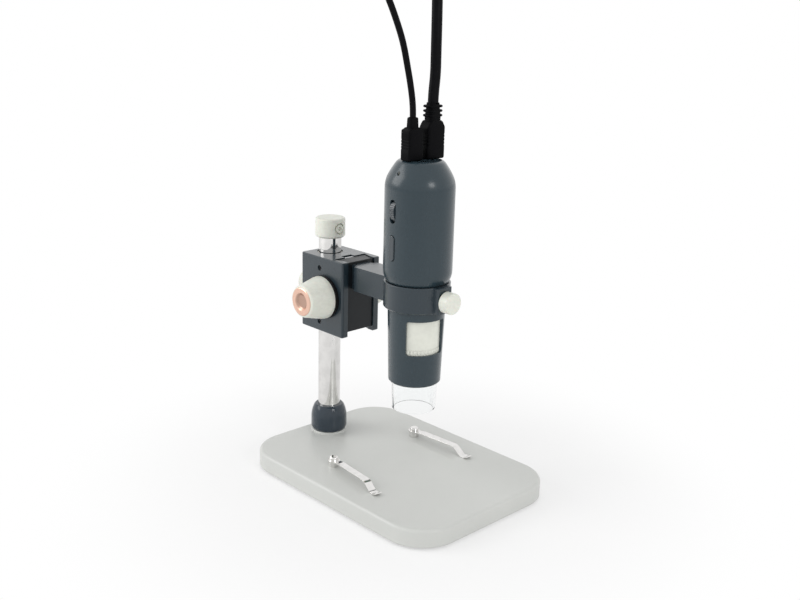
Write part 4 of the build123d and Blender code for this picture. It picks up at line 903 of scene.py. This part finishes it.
class MICRO_OT_plugs(bpy.types.Operator):
    """Makes the moulded plugs on both ends of the cords."""

    bl_idname = "micro.plugs"
    bl_label = "Plugs"

    def execute(self, context):
        """Builds each plug's moulding with its strain relief, and its metal shell."""
        for name, plan in CORDS.items():
            self.near_plug(name, plan)
        for name, plan in CORDS.items():
            self.far_plug(name, plan)
        return {"FINISHED"}

    def moulding(self, name, place, body, corner, shoulder):
        """A plug's moulded body with sloped shoulders and finger grooves on its narrow sides."""
        half_x, half_y, high = body
        run, drop = shoulder
        sections = [
            (0.0, half_x - 0.45, half_y - 0.45, corner * 0.7),
            (0.30, half_x - 0.12, half_y - 0.12, corner),
            (0.80, half_x, half_y, corner),
        ]
        dip = half_x - GROOVE_DEPTH
        for share in GROOVES:
            groove = high * share
            sections += [
                (groove - GROOVE_RIM, half_x, half_y, corner),
                (groove - GROOVE_FOOT, dip, half_y, corner),
                (groove + GROOVE_FOOT, dip, half_y, corner),
                (groove + GROOVE_RIM, half_x, half_y, corner),
            ]
        sections += [
            (high - drop - 0.4, half_x, half_y, corner),
            (high - drop + 0.2, half_x - 0.25, half_y, corner),
            (high - 0.8, half_x - run + 0.3, half_y - 0.10, corner),
            (high - 0.25, half_x - run - 0.25, half_y - 0.40, corner),
            (high, half_x - run - 0.8, half_y - 0.9, corner),
        ]
        return lofted(name, sections, place)

    def near_plug(self, name, plan):
        """The plug that stands in the microscope's top."""
        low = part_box("main_shell")[1].z / MM + PLUG_GAP
        x, y, end = plan["route"][0]
        place = Matrix.Translation(Vector((x, y, low)) * MM)
        body = plan["body"]
        high, top = body[2], end - low
        body_name = f"{name}_moulding_body"
        parts = [self.moulding(body_name, place, body, plan["corner"], plan["shoulder"])]
        if plan["relief"]:
            parts += relief(name, place, high, top - high, **plan["relief"])
        else:
            neck = [
                (high - 0.4, 3.2, 2.6, 2.0),
                (top - 0.7, 3.0, 2.4, 2.0),
                (top - 0.2, 2.75, 2.2, 1.9),
                (top, 2.3, 2.0, 1.8),
            ]
            parts.append(lofted(f"{name}_neck", neck, place))
        parts.append(self.tongue(name, low, plan["tongue"]))
        settle(joined(f"{name}_plug_moulding", parts), "scope", "plug_black", f"{name}_plug")

    def tongue(self, name, low, half):
        """The near plug's metal tongue, hidden in its socket."""
        node = f"{name}_plug"
        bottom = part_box(node)[0].z / MM
        centre = middle_of(node)
        sections = [
            (bottom, half[0] - 0.2, half[1] - 0.2, 0.3),
            (bottom + 0.4, *half, 0.3),
            (low + 0.2, *half, 0.3),
        ]
        place = Matrix.Translation((centre.x, centre.y, 0))
        return lofted(f"{name}_tongue", sections, place, "steel", 35)

    def far_plug(self, name, plan):
        """The plug on the cord's other end, with its hollow metal shell."""
        place = far_frame(plan["route"])
        body, length, tip = plan["far_body"], plan["far_relief"], plan["far_tip"]
        end = length + body[2]
        flip = Matrix.Rotation(math.pi, 4, "X")
        back = place @ Matrix.Translation((0, 0, end * MM)) @ flip
        parts = [self.moulding(f"{name}_far_body", back, body, FAR_CORNER, FAR_SHOULDER)]
        core, flange = (tip + 0.4, tip + 0.4), (tip + 0.9, tip + 0.9)
        sizes = dict(core=core, flange=flange, tip=tip, **FAR_FLANGES)
        parts += relief(f"{name}_far", back, body[2], length, **sizes)
        parts.append(self.shell(f"{name}_far_shell", place, end, plan["far_metal"]))
        settle(joined(f"{name}_far_moulding", parts), "scope", "plug_black", f"{name}_far_plug")

    def shell(self, name, place, low, metal):
        """A bent sheet-metal shell, open at its end, with a tongue inside."""
        half_x, half_y, length = metal
        end = low + length
        outer, inner = (half_x, half_y, 0.6), (half_x - SHEET, half_y - SHEET, 0.4)
        sections = [(low - 0.3, *outer), (end, *outer), (end, *inner), (low + 0.5, *inner)]
        case = lofted(name, sections, place, "steel", 35)
        leaf = (half_x - 1.4, half_y * 0.35, 0.3)
        lifted = place @ Matrix.Translation((0, -half_y * 0.2 * MM, 0))
        sections = [(low + 0.4, *leaf), (end - 1.2, *leaf)]
        inside = lofted(f"{name}_leaf", sections, lifted, smooth_angle=35)
        return joined(f"{name}_both", [case, inside])


# ------------------------------------------------------------- CAD pieces
class MICRO_OT_finishes(bpy.types.Operator):
    """Gives every CAD piece its finish."""

    bl_idname = "micro.finishes"
    bl_label = "Finishes"

    def execute(self, context):
        """Sets each node's material from its slot in the record."""
        for entry in frame["record"]["subparts"]:
            node = frame["nodes"][entry["node"]]
            material = finish_for(entry["material_slot"])
            for index in range(len(node.data.materials)):
                node.data.materials[index] = material
            if not node.data.materials:
                node.data.materials.append(material)
        return {"FINISHED"}


# ------------------------------------------------------------- focus ring
RING_BORE = 12.4
RING_LIP = 0.9


class MICRO_OT_focus_ring(bpy.types.Operator):
    """Makes the focus ring that shows in the tube's windows, with a scalloped band at its foot."""

    bl_idname = "micro.focus_ring"
    bl_label = "Focus Ring"

    def execute(self, context):
        """Turns the ring's sleeve and repeats a rib round it."""
        sizes = settings("micro_ring")
        half, depth, band = (
            v / MM for v in (sizes.rib_width / 2, sizes.rib_depth, sizes.rib_height)
        )
        low, high = (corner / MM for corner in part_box("focus_ring"))
        centre = middle_of("focus_ring")
        middle = centre.z / MM
        foot, top = low.z - middle, high.z - middle
        start = foot + RING_LIP
        stop = start + band
        outer = (high.x - low.x) / 2
        face = outer - depth - 0.05
        profile = [
            (RING_BORE, foot + 0.3),
            (RING_BORE + 0.3, foot),
            (outer - 0.5, foot),
            (outer - 0.12, foot + 0.35),
            (outer - 0.12, start),
            (face, start + 0.25),
            (face, stop),
            (outer - 0.14, stop + 0.4),
            (outer - 0.08, stop + 1.2),
            (outer - 0.08, top - 0.8),
            (outer - 0.2, top - 0.3),
            (outer - 0.5, top),
            (RING_BORE + 0.3, top),
            (RING_BORE, top - 0.3),
        ]
        ring = lathed("focus_sleeve", profile, centre, "ring_gloss")
        outline = [
            (face - 0.1, -half),
            (face + depth * 0.55, -half * 0.8),
            (face + depth * 0.92, -half * 0.35),
        ]
        outline += [(x, -y) for x, y in reversed(outline)]
        bm = bmesh.new()
        rings = [
            [bm.verts.new(Vector((x, y, height)) * MM) for x, y in outline]
            for height in (start + 0.1, stop + 0.1)
        ]
        capped(bm, rings)
        ribs = mesh_object("focus_ribs", bm, "ring_gloss", 50)
        repeated(ribs, "Circle", sizes.ribs, "ring_gloss", centre=tuple(centre))
        whole = joined("scalloped_focus_ring", [ring, ribs])
        settle(whole, "focus_grip", "cream_plastic", "focus_ring")
        return {"FINISHED"}


# ------------------------------------------------------------------ stage
# The camera's place is in mm and its angles are in degrees.
CAMERA_PLACE = (-403.7, -415.7, 285.05)
CAMERA_AZIMUTH = -44.11
CAMERA_ELEVATION = 16.41
CAMERA_ROLL = 1.53
SENSOR_WIDTH = 36.0

# Each lamp's name, place in metres, width in metres and share of the key light's power.
LAMPS = (
    ("key_light", (-0.85, 0.80, 0.70), 0.80, 1.0),
    ("front_light", (-0.10, -1.05, 0.60), 0.30, 0.35),
)

# The floor's lift to white: how far out it starts and ends, in metres, and its least share.
LIFT_START = 0.09
LIFT_END = 0.22
LEAST_LIFT = 0.50


class MICRO_OT_camera(bpy.types.Operator):
    """Places the camera."""

    bl_idname = "micro.camera"
    bl_label = "Camera"

    def execute(self, context):
        """Makes the camera in front of the object, to its left and a little above."""
        data = bpy.data.cameras.new("camera")
        data.lens = settings("micro_studio").lens
        data.sensor_width = SENSOR_WIDTH
        data.clip_start = 0.01
        data.clip_end = 100.0
        camera = placed("camera", data)
        azimuth, elevation, roll = (
            math.radians(v) for v in (CAMERA_AZIMUTH, CAMERA_ELEVATION, CAMERA_ROLL)
        )
        level = math.cos(elevation)
        back = Vector(
            (math.sin(azimuth) * level, -math.cos(azimuth) * level, math.sin(elevation))
        )
        side = Vector((math.cos(azimuth), math.sin(azimuth), 0))
        up = back.cross(side)
        right = side * math.cos(roll) + up * math.sin(roll)
        top = up * math.cos(roll) - side * math.sin(roll)
        turn = Matrix((right, top, back)).transposed()
        camera.matrix_world = Matrix.Translation(Vector(CAMERA_PLACE) * MM) @ turn.to_4x4()
        context.scene.camera = camera
        return {"FINISHED"}


class MICRO_OT_studio(bpy.types.Operator):
    """Makes the floor, the lamps and the even light."""

    bl_idname = "micro.studio"
    bl_label = "Studio"

    def execute(self, context):
        """Builds a pale floor, two soft lamps and a white surround."""
        self.floor()
        self.surround(context.scene)
        power = settings("micro_studio").key
        for name, place, size, share in LAMPS:
            self.lamp(name, place, size, power * share)
        context.scene.view_settings.view_transform = "Standard"
        return {"FINISHED"}

    def seen(self, nodes):
        """The Light Path outputs, and a mask of what the camera sees, also through glass."""
        path = nodes.add("ShaderNodeLightPath").outputs
        return path, nodes.maths("MAXIMUM", path["Is Camera Ray"], path["Is Transmission Ray"])

    def floor(self):
        """A wide pale floor that keeps the object's shadow and fades to white far away."""
        half = settings("micro_studio").floor_size
        bm = bmesh.new()
        bmesh.ops.create_grid(bm, x_segments=8, y_segments=8, size=half)
        mesh = bpy.data.meshes.new("floor")
        bm.to_mesh(mesh)
        bm.free()
        floor = placed("floor", mesh)
        finish = Finish("floor_paint", Roughness=0.8)
        nodes = finish.nodes
        reach = nodes.vector("LENGTH", finish.place, output="Value")
        wash = nodes.span(nodes.noise(finish.place, 3.0, 2.0), 0.3, 0.7)
        finish.set(Base_Color=nodes.blend(wash, (0.96, 0.96, 0.96), (0.98, 0.98, 0.98)))
        glow = nodes.add("ShaderNodeEmission", Strength=1.0)
        lift = nodes.span(reach, LIFT_START, LIFT_END, LEAST_LIFT, 1.0)
        far = nodes.maths("MULTIPLY", lift, self.seen(nodes)[1])
        mix = nodes.add("ShaderNodeMixShader")
        for key, value in zip("012", (far, finish.shader.outputs[0], glow.outputs[0])):
            nodes.feed(mix, key, value)
        output = next(n for n in nodes.tree.nodes if n.type == "OUTPUT_MATERIAL")
        nodes.feed(output, "Surface", mix.outputs[0])
        mesh.materials.append(finish.material)

    def surround(self, scene):
        """An even white surround, full white where it is seen or mirrored."""
        world = bpy.data.worlds.new("surround")
        world.use_nodes = True
        nodes = Nodes(world.node_tree)
        path, seen = self.seen(nodes)
        mirrored = nodes.maths("MAXIMUM", seen, path["Is Glossy Ray"])
        fill = settings("micro_studio").fill
        strength = nodes.span(mirrored, 0.0, 1.0, fill, 1.0, smooth=False)
        background = next(n for n in world.node_tree.nodes if n.type == "BACKGROUND")
        nodes.feed(background, "Color", (1.0, 1.0, 1.0))
        nodes.feed(background, "Strength", strength)
        scene.world = world

    def lamp(self, name, place, size, power):
        """A square soft lamp aimed at the ring arm."""
        data = bpy.data.lights.new(name, "AREA")
        data.shape = "SQUARE"
        data.size = size
        data.energy = power
        lamp = placed(name, data)
        aim = Vector(place) - middle_of("ring_arm")
        lamp.location = place
        lamp.rotation_euler = aim.to_track_quat("Z", "Y").to_euler()


# ------------------------------------------------------------------ panel
OPERATORS = (
    MICRO_OT_camera,
    MICRO_OT_plugs,
    MICRO_OT_cords,
    MICRO_OT_finishes,
    MICRO_OT_focus_ring,
    MICRO_OT_studio,
)
GROUPS_OF_SETTINGS = {
    "micro_finish": FinishSettings,
    "micro_cords": CordSettings,
    "micro_ring": RingSettings,
    "micro_studio": StudioSettings,
}


class MICRO_PT_panel(bpy.types.Panel):
    """Lists the settings and the steps."""

    bl_idname = "MICRO_PT_panel"
    bl_label = "Microscope"
    bl_space_type = "VIEW_3D"
    bl_region_type = "UI"
    bl_category = "Microscope"

    def draw(self, context):
        """Draws each group of settings and a button for each step."""
        layout = self.layout
        for name in GROUPS_OF_SETTINGS:
            values = getattr(context.scene, name)
            box = layout.box()
            for key in values.bl_rna.properties.keys():
                if key not in {"rna_type", "name"}:
                    box.prop(values, key)
        for operator in OPERATORS:
            layout.operator(operator.bl_idname)


def register():
    """Registers the settings, the operators and the panel."""
    for name, kind in GROUPS_OF_SETTINGS.items():
        bpy.utils.register_class(kind)
        setattr(bpy.types.Scene, name, bpy.props.PointerProperty(type=kind))
    for kind in (*OPERATORS, MICRO_PT_panel):
        bpy.utils.register_class(kind)


def unregister():
    """Takes away what register made."""
    for kind in reversed((*OPERATORS, MICRO_PT_panel)):
        bpy.utils.unregister_class(kind)
    for name, kind in GROUPS_OF_SETTINGS.items():
        delattr(bpy.types.Scene, name)
        bpy.utils.unregister_class(kind)


def main():
    register()
    for operator in OPERATORS:
        module, action = operator.bl_idname.split(".")
        getattr(getattr(bpy.ops, module), action)()


if __name__ == "__main__":
    main()
